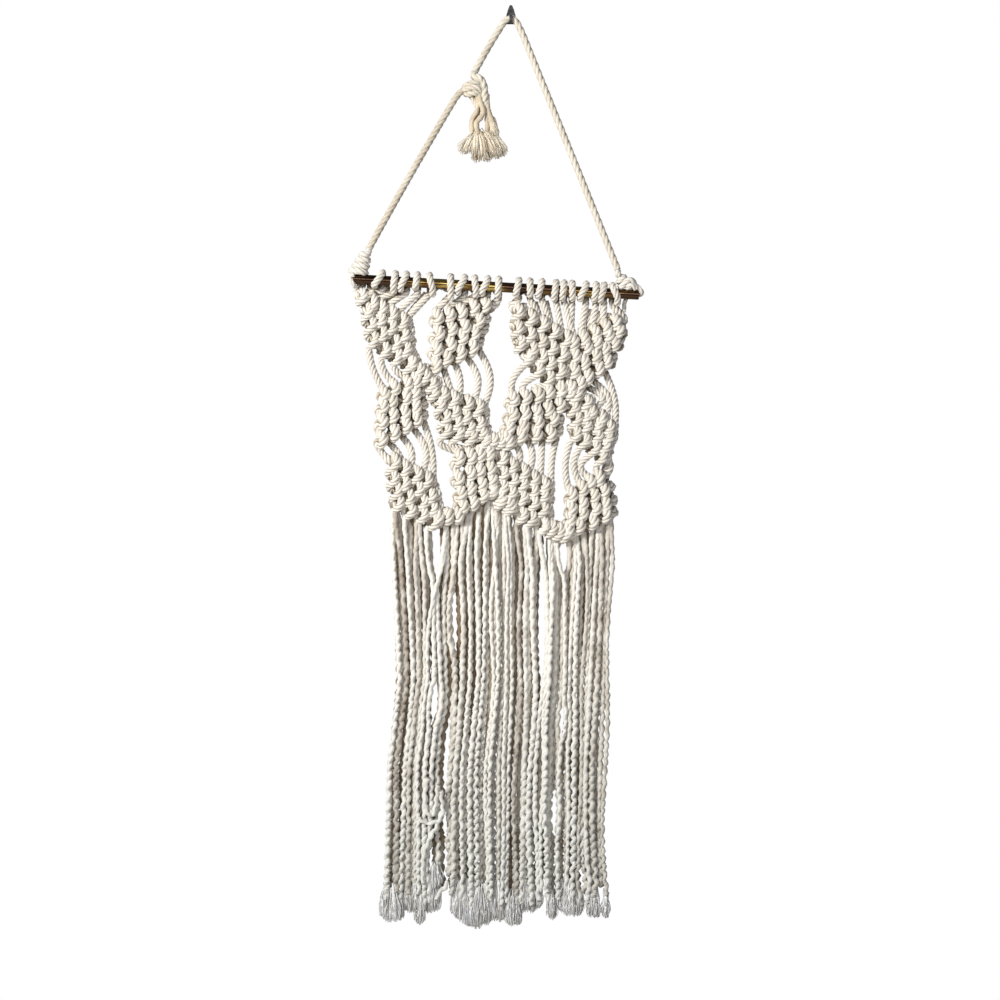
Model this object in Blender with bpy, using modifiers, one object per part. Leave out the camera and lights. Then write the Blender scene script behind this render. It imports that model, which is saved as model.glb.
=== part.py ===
"""Macrame wall hanging: knotted cotton panel and fringe on a brass rod, hung by a rope from a wall hook.

Metres, +Z up. The wall is the plane Y = 0 and the hanging faces -Y. The origin is the middle of the
hook plate's back face, where it lies on the wall.
"""
import math

import bmesh
import bpy
import numpy as np
from mathutils import Matrix, Vector

MM = 0.001

# ---------------------------------------------------------------- colours, linear
COTTON = (0.83, 0.77, 0.67)
BRASS = (0.30, 0.22, 0.09)
STEEL = (0.06, 0.058, 0.055)

# ---------------------------------------------------------------- driving sizes, millimetres
ROPE_RADIUS = 3.15            # 6.3 mm three-strand rope
ROPE_LAY = 21.0               # one full turn of the twist
GAP = 0.45                    # air between two pieces that touch

ROD_RADIUS = 5.0
ROD_LENGTH = 287.0
ROD_TILT = -3.15              # degrees; the right end hangs lower
ROD_MIDDLE = (-15.8, -18.8, -275.6)
ROD_EDGE = 0.5                # bevel round its two ends
ROD_SIDES = 24

PANEL_Y = -10.6               # middle plane of the knotted panel
STRAND_RADIUS = 2.9
WRAP_RADIUS = 2.7             # the rope is squeezed flat where it bends over the rod
WRAP_REACH = ROD_RADIUS + GAP + WRAP_RADIUS + 0.75    # 45 degree steps cut the corner by 0.6 mm
LEG_START = 9.0               # the legs leave the rod this far below its axis
BOW_FORWARD = 0.15
BAR_RIDGE = 8.6               # a bar is a rope wrapped by two turns of each knotting rope
BAR_WAIST = 6.2
KNOT_PITCH = 12.8             # width of one double half hitch along its bar

HOOK_THICKNESS = 1.6
HOOK_LEAF = ((-1.2, 9.4), (1.2, 9.4), (3.0, 5.0), (4.7, -1.0), (4.7, -9.5), (-4.7, -9.5), (-4.7, -1.0),
             (-3.0, 5.0))     # outline of the plate, x and z
LIP_WIDTH = 3.2
LIP_THICKNESS = 1.2
LIP_RISE = 3.4                # how far the lip stands up in front of the rope
LIP_SLANT = 0.6               # its tip slopes down outwards by this much
HOOK_AIR = 0.6
HOOK_Z = -5.6                 # middle of the hook's bend
APEX_Z = -4.8                 # middle of the rope where it bends over the lip
APEX_Y = -(HOOK_THICKNESS + ROPE_RADIUS + HOOK_AIR)

# ---------------------------------------------------------------- hanger rope, millimetres
ROPE_VALLEY = 0.78            # depth of the valley between two strands, as a share of the radius
STEPS_PER_LAY = 8
LEFT_RUN = ((-141.8, -18.3, -238.0), (-122.0, -17.0, -202.0), (-91.0, -15.0, -147.0),
            (-62.0, -12.5, -97.0), (-53.5, -12.0, -83.5), (-46.4, -11.5, -77.3))
RIGHT_RUN = ((-37.0, -10.5, -61.0), (-28.0, -8.0, -44.0), (-19.0, -6.2, -28.0), (-11.0, -5.6, -15.0),
             (-6.0, APEX_Y, -7.6), (0.0, APEX_Y, APEX_Z), (5.0, APEX_Y, -7.8), (9.0, -5.8, -15.0),
             (13.0, -6.4, -24.0), (25.0, -8.0, -54.0), (65.0, -13.0, -154.0), (106.5, -18.3, -258.5))
NECK_RADIUS = 2.9
NECK_STRAIGHT = 1.5
KNOT_Y = -11.0
OVER_END_RADIUS = 1.9
TAIL_RADIUS = 2.6
BEHIND = ROD_RADIUS + GAP + 3.2    # how far behind the rod's axis a strand passes it

# One row per coil of a knot: its middle, its axis and the radius of its turn.
JOIN_KNOT = (
    # x, z, axis, ring radius
    (-34.0, -70.0, (0.5, -0.3, 0.8), 7.2),
    (-32.0, -76.5, (-0.5, -0.3, 0.8), 7.6),
    (-35.0, -75.0, (0.9, 0.1, -0.3), 6.6),
)
LEFT_COILS = (
    # x, z, axis, ring radius
    (-152.5, -256.2, (-0.25, -0.2, 1), 6.2),
    (-150.0, -250.5, (0.2, -0.2, 1), 6.0),
    (-147.0, -245.2, (0.4, -0.2, 1), 5.0),
)
RIGHT_COILS = (
    # x, z, axis, ring radius
    (118.0, -271.4, (-0.15, -0.2, 1), 5.6),
    (112.8, -266.4, (-0.5, -0.2, 1), 4.6),
)
# Strands of the end knots, as x, distance behind the rod's axis, z.
LEFT_OVER_END = ((-157.0, 0, -258.0), (-161.9, 1, -262.4), (-162.1, 4, -268.0), (-159.0, BEHIND, -271.0),
                 (-154.0, BEHIND, -272.0))
LEFT_TAIL = ((-154.0, 4, -257.0), (-154.0, BEHIND, -262.0), (-153.0, BEHIND, -270.0),
             (-152.0, BEHIND, -274.0), (-151.5, BEHIND, -277.6))
RIGHT_OVER_END = ((122.0, 0, -272.5), (127.5, 1, -274.5), (130.2, 2, -279.0), (130.4, 4, -285.0),
                  (127.0, BEHIND, -287.0), (120.0, BEHIND, -285.0))
RIGHT_TAIL = ((117.0, 4, -271.0), (116.0, BEHIND, -277.0), (114.5, BEHIND, -288.0),
              (114.5, BEHIND, -296.0), (114.0, BEHIND + 0.5, -301.5))

TASSEL_TOP = (-32.0, -11.0, -87.0)
TASSEL_RADIUS = 5.4
# One row per station of the tassel's head: its step aside, its drop and its share of TASSEL_RADIUS.
TASSEL_HEAD = (
    # aside, drop, radius_share
    (0.0, 0.0, 0.9),
    (0.0, 7.0, 1.0),
    (1.0, 17.0, 0.9),
    (3.0, 25.0, 0.7),
)
TASSEL_LOCKS = 12
LOCKS_ASIDE = 2.5             # the brush hangs this far right of the knot
LOCK_RADIUS = 2.4
LOCK_SHARES = (0.8, 0.9, 1.1, 1.0)
# One row per station of a tassel lock: its reach sideways and in depth, its drop, and how far the
# outermost locks lag behind that drop.
TASSEL_SPREAD = (
    # reach_x, reach_y, drop, lift
    (2.2, 2.2, 21.0, 0.0),
    (7.0, 4.5, 35.0, 0.0),
    (13.0, 6.0, 47.0, 0.0),
    (21.5, 7.5, 62.0, 6.0),
)

# ---------------------------------------------------------------- knotted panel and fringe, millimetres
# One row per strip of the panel: where its first and last lark's head wraps cross the rod.
STRIPS = (
    # first_x, last_x
    (-129.0, -79.0),
    (-60.0, -13.0),
    (8.0, 53.0),
    (63.0, 104.0),
)
ENDS_PER_STRIP = 5

# One row per section of three double half hitch bars: the ends of its first and of its last bar.
SECTIONS = (
    # strip, first bar: left_x, left_z, right_x, right_z   last bar: left_x, left_z, right_x, right_z
    (0, (-152, -285, -103, -314), (-141, -325, -95, -354)),
    (0, (-131, -386, -88, -368), (-133, -429, -87, -403)),
    (0, (-121, -450, -78, -474), (-117, -488, -68, -511)),
    (1, (-80, -307, -17, -295), (-83, -356, -30, -333)),
    (1, (-80, -379, -26, -400), (-69, -416, -21, -430)),
    (1, (-58, -452, -15, -442), (-55, -500, -12, -475)),
    (2, (3, -298, 59, -334), (7, -340, 54, -379)),
    (2, (-3, -393, 60, -379), (-8, -427, 46, -418)),
    (2, (-12, -448, 40, -478), (-6, -491, 39, -515)),
    (3, (59, -336, 112, -310), (55, -382, 106, -343)),
    (3, (61, -381, 107, -423), (60, -416, 99, -448)),
    (3, (56, -490, 97, -464), (52, -521, 106, -500)),
)
BARS_PER_SECTION = 3
TIED_ENDS = (0, 2, 4)         # rope ends that show between the bars of a section
PANEL_KEEP = 0.64             # share of the union's faces that is kept

# One row per float region: how far each of the five loose ropes bows sideways at mid height.
FLOAT_BOWS = {
    # (strip, region): bow of each rope, left to right
    (0, 0): (-4, -6, -6, -4, 0),
    (0, 1): (-2, 4, 8, 9, 8),
    (1, 0): (0, 0, 9, 12, 10),
    (1, 1): (-8, -10, 0, 0, 0),
    (2, 0): (-12, -10, -10, -5, -3),
    (2, 1): (0, 4, 4, 5, 4),
    (3, 0): (0, 3, 10, 7, 4),
    (3, 1): (-4, -6, -8, 0, 3),
}

# One row per knot that links two strips: its ends.
LINKS = (
    # left_x, left_z, right_x, right_z
    (-98, -352, -78, -372),
    (-72, -506, -52, -504),
    (-25, -428, -2, -430),
    (-18, -478, -2, -492),
    (34, -514, 56, -522),
)

# Line along which the fringe hangs, just under the last bars, left to right.
EDGE_X = (-119, -68, -52, -22, -6, 39, 54, 107)
EDGE_Z = (-499.8, -523.2, -514.5, -493.8, -503.2, -527.2, -534, -512.8)
# Lower ends of the fringe, left to right.
TIPS_X = (-131, -119, -91, -72, -65, -37, -11, 9, 21, 34, 41, 67, 97)
TIPS_Z = (-890, -906, -909, -900, -884, -916, -903, -911, -900, -884, -904, -906, -904)
# Sides of the fringe at a few heights, top to bottom.
SIDES_Z = (-480, -603, -668, -754, -808, -916)
SIDES_LEFT = (-120, -117, -115, -123, -123, -127)
SIDES_RIGHT = (104, 98, 96, 93, 92, 95)
STRIP_DEPTH = 12.0            # backing strip of the fringe
STRIP_HEIGHT = 4.8
EDGE_MARGIN = 2.0             # first and last ply, in from the strip's ends
PLIES = 60                    # twenty rope ends of three plies each
PLY_RADIUS = 2.5
PLY_TIP_SPREAD = 1.3
PLY_LAYER = 3.6               # the plies hang in a front and a back layer
ROOT_LAYER = 2.7              # half the distance between the layers at the backing strip
PLY_STEPS = 5
PLY_SWAY = 0.5
UNEVEN_CUT = 8.0              # the cut ends differ by up to this much


def rod_z(x):
    """Height of the rod's axis at x."""
    return ROD_MIDDLE[2] + (x - ROD_MIDDLE[0]) * math.tan(math.radians(ROD_TILT))


def smooth(points, count):
    """Points evenly spaced along a Catmull-Rom curve through the given points."""
    p = np.asarray(points, float)
    p = np.vstack([2 * p[0] - p[1], p, 2 * p[-1] - p[-2]])
    fine = []
    for a, b, c, d in zip(p[:-3], p[1:-2], p[2:-1], p[3:]):
        t = np.linspace(0, 1, 24, endpoint=False)[:, None]
        fine.append(0.5 * (2 * b + (c - a) * t + (2 * a - 5 * b + 4 * c - d) * t**2
                           + (3 * b - a - 3 * c + d) * t**3))
    fine = np.vstack(fine + [p[-2][None]])
    run = np.concatenate([[0], np.cumsum(np.linalg.norm(np.diff(fine, axis=0), axis=1))])
    at = np.linspace(0, run[-1], count)
    return np.column_stack([np.interp(at, run, fine[:, k]) for k in range(3)])


def length_of(points):
    """Length along a row of points."""
    return float(np.linalg.norm(np.diff(np.asarray(points, float), axis=0), axis=1).sum())


# ---------------------------------------------------------------- Blender helpers
def clear_scene():
    """Takes every object out of the file."""
    for block in list(bpy.data.objects):
        bpy.data.objects.remove(block, do_unlink=True)


def collection(name):
    """A new collection in the scene."""
    made = bpy.data.collections.new(name)
    bpy.context.scene.collection.children.link(made)
    return made


def material(name, rgb, roughness, metallic=0.0):
    """A plain material of one linear colour."""
    mat = bpy.data.materials.new(name)
    mat.use_nodes = True
    shader = mat.node_tree.nodes["Principled BSDF"]
    shader.inputs["Base Color"].default_value = (*rgb, 1.0)
    shader.inputs["Roughness"].default_value = roughness
    shader.inputs["Metallic"].default_value = metallic
    return mat


def curve_data(name, points, closed=False, radii=None, tilts=None):
    """A curve through points in millimetres; radii scale its section, tilts turn it."""
    data = bpy.data.curves.new(name, "CURVE")
    data.dimensions = "3D"
    data.twist_mode = "MINIMUM"
    spline = data.splines.new("POLY")
    spline.points.add(len(points) - 1)
    spline.use_cyclic_u = closed
    for i, (point, co) in enumerate(zip(spline.points, points)):
        point.co = (co[0] * MM, co[1] * MM, co[2] * MM, 1.0)
        point.radius = 1.0 if radii is None else radii[i]
        point.tilt = 0.0 if tilts is None else tilts[i]
    return data


def mesh_from_curve(name, data):
    """The curve's tube as a closed mesh object, its caps welded."""
    guide = bpy.data.objects.new(name + "_guide", data)
    bpy.context.scene.collection.objects.link(guide)
    graph = bpy.context.evaluated_depsgraph_get()
    mesh = bpy.data.meshes.new_from_object(guide.evaluated_get(graph))
    mesh.name = name
    bm = bmesh.new()
    bm.from_mesh(mesh)
    bmesh.ops.remove_doubles(bm, verts=bm.verts, dist=0.00001)
    bmesh.ops.recalc_face_normals(bm, faces=bm.faces)
    bm.to_mesh(mesh)
    bm.free()
    made = bpy.data.objects.new(name, mesh)
    made.matrix_world = guide.matrix_world
    bpy.data.objects.remove(guide, do_unlink=True)
    return made


def tube(name, points, radius, detail=1, radii=None):
    """A tube along points; detail 0, 1, 2 gives 4, 6, 8 sides. radii scale it point by point."""
    data = curve_data(name, points, radii=radii)
    data.bevel_depth = radius * MM
    data.bevel_resolution = detail
    data.use_fill_caps = True
    return mesh_from_curve(name, data)


def profiled(name, points, outline, tilts=None):
    """A flat outline, a list of (u, v), carried along points."""
    ring = curve_data(name + "_outline", [(u, v, 0) for u, v in outline], closed=True)
    ring.dimensions = "2D"
    profile = bpy.data.objects.new(name + "_outline", ring)
    bpy.context.scene.collection.objects.link(profile)
    data = curve_data(name, points, tilts=tilts)
    data.bevel_mode = "OBJECT"
    data.bevel_object = profile
    data.use_fill_caps = True
    made = mesh_from_curve(name, data)
    bpy.data.objects.remove(profile, do_unlink=True)
    return made


def new_primitive(name):
    """The primitive just added, taken out of the collection that it was added to."""
    made = bpy.context.object
    made.name = name
    made.data.name = name
    for holder in list(made.users_collection):
        holder.objects.unlink(made)
    return made


def flat_outline(name, outline, thickness):
    """A flat outline in the XY plane, thickened evenly to both sides."""
    data = curve_data(name, [(u, v, 0) for u, v in outline], closed=True)
    data.dimensions = "2D"
    data.fill_mode = "BOTH"
    data.extrude = thickness / 2 * MM
    return mesh_from_curve(name, data)


def keep_outer_shell(mesh):
    """Leaves only the widest of a mesh's shells, so air that is sealed inside a body is filled."""
    bm = bmesh.new()
    bm.from_mesh(mesh)
    left = set(bm.verts)
    shells = []
    while left:
        front = [left.pop()]
        shell = list(front)
        while front:
            here = front.pop()
            beside = {edge.other_vert(here) for edge in here.link_edges} & left
            left -= beside
            front.extend(beside)
            shell.extend(beside)
        shells.append(shell)
    shells.sort(key=lambda shell: max(v.co.z for v in shell) - min(v.co.z for v in shell))
    for shell in shells[:-1]:
        bmesh.ops.delete(bm, geom=shell, context="VERTS")
    bm.to_mesh(mesh)
    bm.free()


def fuse(name, pieces, keep=1.0):
    """One closed body from overlapping pieces, by a Boolean union; keep thins its faces out."""
    body = pieces[0]
    body.name = name
    bpy.context.scene.collection.objects.link(body)
    others = bpy.data.collections.new(name + "_pieces")
    bpy.context.scene.collection.children.link(others)
    for piece in pieces[1:]:
        others.objects.link(piece)
    union = body.modifiers.new("union", "BOOLEAN")
    union.operation = "UNION"
    union.solver = "EXACT"
    union.operand_type = "COLLECTION"
    union.collection = others
    if keep < 1.0:
        thin = body.modifiers.new("thin", "DECIMATE")
        thin.ratio = keep
    graph = bpy.context.evaluated_depsgraph_get()
    mesh = bpy.data.meshes.new_from_object(body.evaluated_get(graph))
    for piece in pieces:
        bpy.data.objects.remove(piece, do_unlink=True)
    bpy.data.collections.remove(others)
    mesh.name = name
    keep_outer_shell(mesh)
    return bpy.data.objects.new(name, mesh)


def finish(piece, mat, home):
    """Gives a piece its one material and its collection, shaded smooth but for sharp edges."""
    piece.data.materials.clear()
    piece.data.materials.append(mat)
    piece.data.shade_smooth()
    piece.data.set_sharp_from_angle(angle=math.radians(50))
    home.objects.link(piece)
    return piece


# ---------------------------------------------------------------- hook and rod
def wall_hook():
    """Leaf-shaped plate on the wall, with a narrow lip that curls out under the rope and up again."""
    plate = flat_outline("plate", HOOK_LEAF, HOOK_THICKNESS)
    plate.data.transform(Matrix.Translation((0, -HOOK_THICKNESS / 2 * MM, 0))
                         @ Matrix.Rotation(math.radians(90), 4, "X"))
    inner = ROPE_RADIUS + HOOK_AIR
    outer = inner + LIP_THICKNESS
    turns = [math.radians(a) for a in range(0, -181, -30)]
    hollow = [(APEX_Y + inner * math.cos(a), HOOK_Z + inner * math.sin(a)) for a in turns]
    back = [(APEX_Y + outer * math.cos(a), HOOK_Z + outer * math.sin(a)) for a in reversed(turns)]
    tip = [(APEX_Y - inner, HOOK_Z + LIP_RISE), (APEX_Y - outer, HOOK_Z + LIP_RISE - LIP_SLANT)]
    lip = flat_outline("lip", hollow + tip + back, LIP_WIDTH)
    lip.data.transform(Matrix(((0, 0, 1, 0), (1, 0, 0, 0), (0, 1, 0, 0), (0, 0, 0, 1))))
    return fuse("wall_hook", [plate, lip])


def rod():
    """Straight round rod, a little out of level, its ends bevelled."""
    bpy.ops.mesh.primitive_cylinder_add(vertices=ROD_SIDES, radius=ROD_RADIUS * MM, depth=ROD_LENGTH * MM,
                                        rotation=(0, math.radians(90 - ROD_TILT), 0),
                                        location=[c * MM for c in ROD_MIDDLE])
    made = new_primitive("rod")
    edge = made.modifiers.new("edge", "BEVEL")
    edge.width = ROD_EDGE * MM
    edge.segments = 1
    edge.limit_method = "ANGLE"
    return made


# ---------------------------------------------------------------- hanger rope
def star(radius):
    """Section of a three-strand rope: three ridges and the three valleys between them."""
    reach = [radius if k % 2 == 0 else ROPE_VALLEY * radius for k in range(6)]
    return [(r * math.cos(k * math.pi / 3), r * math.sin(k * math.pi / 3)) for k, r in enumerate(reach)]


def laid_rope(name, route):
    """A rope along a smooth route, its section turning once per lay."""
    turns = length_of(route) / ROPE_LAY
    steps = math.ceil(turns * STEPS_PER_LAY)
    tilts = [2 * math.pi * turns * i / steps for i in range(steps + 1)]
    return profiled(name, smooth(route, steps + 1), star(ROPE_RADIUS), tilts)


def coil(middle, axis, ring_radius):
    """One closed turn of rope about a middle and an axis."""
    bpy.ops.mesh.primitive_torus_add(major_radius=ring_radius * MM, minor_radius=ROPE_RADIUS * MM,
                                     major_segments=10, minor_segments=6)
    made = new_primitive("coil")
    turn = Vector((0, 0, 1)).rotation_difference(Vector(axis)).to_matrix().to_4x4()
    made.data.transform(Matrix.Translation(Vector(middle) * MM) @ turn)
    return made


def neck(middle, end, inner):
    """The rope inside a knot, from its middle out to the end face of a run that starts at end."""
    end = Vector(end)
    out = (Vector(inner) - end).normalized()
    face = end - out * GAP
    return tube("neck", [middle, face - out * NECK_STRAIGHT, face], NECK_RADIUS)


def join_knot():
    """Overhand knot in which the rope's two ends are tied together."""
    pieces = [coil((x, KNOT_Y, z), axis, ring) for x, z, axis, ring in JOIN_KNOT]
    middle = (JOIN_KNOT[0][0], KNOT_Y, JOIN_KNOT[0][1])
    below = (TASSEL_TOP[0], TASSEL_TOP[1], TASSEL_TOP[2] - NECK_STRAIGHT)
    pieces.append(neck(middle, LEFT_RUN[-1], LEFT_RUN[-2]))
    pieces.append(neck(middle, RIGHT_RUN[0], RIGHT_RUN[1]))
    pieces.append(neck(middle, TASSEL_TOP, below))
    return fuse("join_knot", pieces)


def end_knot(name, coils, over_end, tail, run):
    """Coils on top of the rod, a strand bent over the rod's end, and the tail that runs down behind."""
    y = ROD_MIDDLE[1]
    pieces = [coil((x, y, z), axis, ring) for x, z, axis, ring in coils]
    pieces.append(neck((coils[0][0], y, coils[0][1]), *run))
    pieces.append(tube("over_end", [(x, y + behind, z) for x, behind, z in over_end], OVER_END_RADIUS))
    pieces.append(tube("tail", [(x, y + behind, z) for x, behind, z in tail], TAIL_RADIUS))
    return fuse(name, pieces)


def join_tassel():
    """The rope's two tails, unlaid below the knot: one head, and locks that spread to a brush."""
    x, y, z = TASSEL_TOP
    pieces = [tube("head", [(x + aside, y, z - drop) for aside, drop, _ in TASSEL_HEAD],
                   TASSEL_RADIUS, 2, radii=[share for _, _, share in TASSEL_HEAD])]
    for k in range(TASSEL_LOCKS):
        turn = 2 * math.pi * k / TASSEL_LOCKS
        aside, ahead = math.cos(turn), math.sin(turn)
        points = [(x + LOCKS_ASIDE + reach_x * aside, y + reach_y * ahead, z - drop + lift * abs(aside))
                  for reach_x, reach_y, drop, lift in TASSEL_SPREAD]
        pieces.append(tube("lock", points, LOCK_RADIUS, 0, radii=LOCK_SHARES))
    return fuse("join_tassel", pieces)


# ---------------------------------------------------------------- knotted panel
def bar_points(left, right):
    """Axis of a bar and its radii: a ridge at the middle of each knot, a waist between two."""
    start = np.array([left[0], PANEL_Y, left[1]], float)
    end = np.array([right[0], PANEL_Y, right[1]], float)
    knots = max(2, round(np.linalg.norm(end - start) / KNOT_PITCH))
    steps = 2 * knots
    points = [start + (end - start) * i / steps for i in range(steps + 1)]
    radii = [BAR_RIDGE if i % 2 else BAR_WAIST for i in range(steps + 1)]
    return points, [r / BAR_RIDGE for r in radii]


def section_rows(strip):
    """The three sections of a strip, from the top down."""
    return [row for row in SECTIONS if row[0] == strip]


def bar_ends(row, number):
    """Ends of one bar of a section, between its first and its last."""
    share = number / (BARS_PER_SECTION - 1)
    return [(1 - share) * a + share * b for a, b in zip(row[1], row[2])]


def along_bar(ends, end_number):
    """Where one of the strip's rope ends crosses a bar."""
    share = (end_number + 0.5) / ENDS_PER_STRIP
    return (ends[0] + (ends[2] - ends[0]) * share, ends[1] + (ends[3] - ends[1]) * share)


def wrap(x):
    """Route of one rope end over the rod, from the bight behind it to the leg behind it."""
    turns = [math.radians(a) for a in range(-60, -331, -45)]
    return [(x, ROD_MIDDLE[1] + WRAP_REACH * math.cos(a), rod_z(x) + WRAP_REACH * math.sin(a))
            for a in turns]


def mounted_run(strip, end_number):
    """One rope end from its wrap on the rod down to the strip's first bar, with its radii."""
    first_x, last_x = STRIPS[strip]
    x = first_x + (last_x - first_x) * end_number / (ENDS_PER_STRIP - 1)
    entry_x, entry_z = along_bar(section_rows(strip)[0][1], end_number)
    loop = wrap(x)
    points = loop + [(x, PANEL_Y, rod_z(x) - LEG_START), (entry_x, PANEL_Y, entry_z)]
    return points, [WRAP_RADIUS / STRAND_RADIUS] * len(loop) + [1.0, 1.0]


def float_run(strip, region, end_number):
    """One loose rope between two sections; it bows sideways as half a sine wave, and a little forward."""
    rows = section_rows(strip)
    leave_x, leave_z = along_bar(rows[region][2], end_number)
    enter_x, enter_z = along_bar(rows[region + 1][1], end_number)
    bow = FLOAT_BOWS[(strip, region)][end_number]
    points = []
    for share in (0.0, 0.25, 0.5, 0.75, 1.0):
        side = bow * math.sin(math.pi * share)
        points.append((leave_x + (enter_x - leave_x) * share + side, PANEL_Y - BOW_FORWARD * abs(side),
                       leave_z + (enter_z - leave_z) * share))
    return points


def tie_routes(row):
    """Rope ends that run down through the bars of one section and tie them together."""
    routes = []
    for end_number in TIED_ENDS:
        crossings = [along_bar(bar_ends(row, number), end_number) for number in range(BARS_PER_SECTION)]
        routes.append([(x, PANEL_Y, z) for x, z in crossings])
    return routes


def knotted_panel():
    """Bars, links, legs on the rod and loose ropes, all fused into one openwork body."""
    pieces = []
    for row in SECTIONS:
        for number in range(BARS_PER_SECTION):
            ends = bar_ends(row, number)
            points, radii = bar_points(ends[:2], ends[2:])
            pieces.append(tube("bar", points, BAR_RIDGE, 1, radii))
        for points in tie_routes(row):
            pieces.append(tube("tie", points, STRAND_RADIUS, 0))
    for link in LINKS:
        points, radii = bar_points(link[:2], link[2:])
        pieces.append(tube("link", points, BAR_RIDGE, 1, radii))
    for strip in range(len(STRIPS)):
        for end_number in range(ENDS_PER_STRIP):
            points, radii = mounted_run(strip, end_number)
            pieces.append(tube("leg", points, STRAND_RADIUS, 1, radii))
            for region in range(2):
                pieces.append(tube("float", float_run(strip, region, end_number), STRAND_RADIUS, 1))
    return fuse("knotted_panel", pieces, keep=PANEL_KEEP)


# ---------------------------------------------------------------- fringe
def side_x(z, share):
    """Where a ply hangs at height z, at its share of the width between the fringe's two sides."""
    depth = [-height for height in SIDES_Z]
    left = float(np.interp(-z, depth, SIDES_LEFT))
    right = float(np.interp(-z, depth, SIDES_RIGHT))
    return left + (right - left) * share


def ply_points(number, trim):
    """Route of one ply from the backing strip to its cut end, in the front or the back layer."""
    share = (number + 0.5) / PLIES
    layer = PLY_LAYER if number % 2 else -PLY_LAYER
    root_x = EDGE_X[0] + EDGE_MARGIN + (EDGE_X[-1] - EDGE_X[0] - 2 * EDGE_MARGIN) * share
    root_z = float(np.interp(root_x, EDGE_X, EDGE_Z))
    tip_z = float(np.interp(side_x(SIDES_Z[-1], share), TIPS_X, TIPS_Z)) + trim
    points = [(root_x, PANEL_Y + math.copysign(ROOT_LAYER, layer), root_z)]
    for step in range(1, PLY_STEPS + 1):
        z = root_z + (tip_z - root_z) * step / PLY_STEPS
        sway = PLY_SWAY * math.sin(1.7 * step + 0.4 * number)
        points.append((side_x(z, share) + sway, PANEL_Y + layer, z))
    return points


def fringe():
    """Sixty unlaid plies fused into the narrow strip from which they hang."""
    along, up = STRIP_DEPTH / 2, STRIP_HEIGHT / 2
    outline = [(-along, -up), (along, -up), (along, up), (-along, up)]
    pieces = [profiled("strip", [(x, PANEL_Y, z) for x, z in zip(EDGE_X, EDGE_Z)], outline)]
    cuts = np.random.default_rng(7).uniform(0, UNEVEN_CUT, PLIES)
    radii = [1.0] * PLY_STEPS + [PLY_TIP_SPREAD]
    for number, trim in enumerate(cuts):
        pieces.append(tube("ply", ply_points(number, trim), PLY_RADIUS, 0, radii))
    return fuse("fringe", pieces)


# ---------------------------------------------------------------- the whole hanging
def build():
    """Makes every piece, each with its own material, in one collection."""
    clear_scene()
    home = collection("macrame_wall_hanging")
    finish(wall_hook(), material("dark_steel", STEEL, 0.5, 0.9), home)
    finish(rod(), material("aged_brass", BRASS, 0.35, 1.0), home)
    soft = [
        laid_rope("hanger_rope_left", LEFT_RUN),
        laid_rope("hanger_rope_right", RIGHT_RUN),
        join_knot(),
        join_tassel(),
        end_knot("left_end_knot", LEFT_COILS, LEFT_OVER_END, LEFT_TAIL, LEFT_RUN[:2]),
        end_knot("right_end_knot", RIGHT_COILS, RIGHT_OVER_END, RIGHT_TAIL, RIGHT_RUN[:-3:-1]),
        knotted_panel(),
        fringe(),
    ]
    for piece in soft:
        finish(piece, material(piece.name + "_cotton", COTTON, 0.9), home)


build()
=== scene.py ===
# %% [markdown]
# # A macrame wall hanging
# Four strips of knotted cotton rope hang from an aged brass rod, and a long fringe of unlaid plies hangs
# from the strips. A rope tied to both ends of the rod runs up over a small steel wall hook.
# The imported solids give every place. Here each soft solid gets the rope that it stands for.
# All lengths in the tables are millimetres: x to the right, z up and y to the back. The back of the hook's
# plate is at 0.

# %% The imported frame
import math

import bpy
import numpy as np
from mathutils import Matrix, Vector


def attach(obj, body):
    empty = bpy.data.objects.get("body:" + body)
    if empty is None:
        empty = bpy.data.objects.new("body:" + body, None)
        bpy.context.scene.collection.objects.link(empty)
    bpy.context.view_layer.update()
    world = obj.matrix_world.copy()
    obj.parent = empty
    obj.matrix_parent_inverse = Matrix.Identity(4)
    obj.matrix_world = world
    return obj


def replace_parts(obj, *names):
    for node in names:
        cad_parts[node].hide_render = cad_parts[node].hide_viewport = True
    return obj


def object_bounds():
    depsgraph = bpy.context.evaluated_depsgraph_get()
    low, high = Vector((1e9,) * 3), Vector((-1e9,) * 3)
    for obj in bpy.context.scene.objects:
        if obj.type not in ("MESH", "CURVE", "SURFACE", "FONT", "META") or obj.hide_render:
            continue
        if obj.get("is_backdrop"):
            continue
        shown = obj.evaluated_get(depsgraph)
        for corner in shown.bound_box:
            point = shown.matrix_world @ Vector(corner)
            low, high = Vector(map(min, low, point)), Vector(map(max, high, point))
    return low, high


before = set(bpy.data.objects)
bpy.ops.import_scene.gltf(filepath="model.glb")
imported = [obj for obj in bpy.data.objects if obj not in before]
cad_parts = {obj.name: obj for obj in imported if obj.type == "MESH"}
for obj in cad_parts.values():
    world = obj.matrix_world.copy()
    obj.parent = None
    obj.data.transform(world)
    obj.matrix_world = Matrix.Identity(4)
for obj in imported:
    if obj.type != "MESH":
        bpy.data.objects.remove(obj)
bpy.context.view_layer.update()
MM = 0.001
print("nodes:", ", ".join(sorted(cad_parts)))


def placed(name, data):
    """A new object in the scene that shows some data."""
    made = bpy.data.objects.new(name, data)
    bpy.context.scene.collection.objects.link(made)
    return made


# %% [markdown]
# ## Camera
# The photograph looks straight at the hanging. One of its pixels is one millimetre at the knots, so a long
# lens two metres away that sees a square metre there gives its frame.

# %% Camera
VIEW_X, VIEW_Z = -11.0, -488.0    # middle of the view
VIEW_WIDTH = 1000.0
VIEW_AWAY = 2000.0                # from the camera to the knots
KNOTS_Y = -12.0
SENSOR = 36.0

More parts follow.
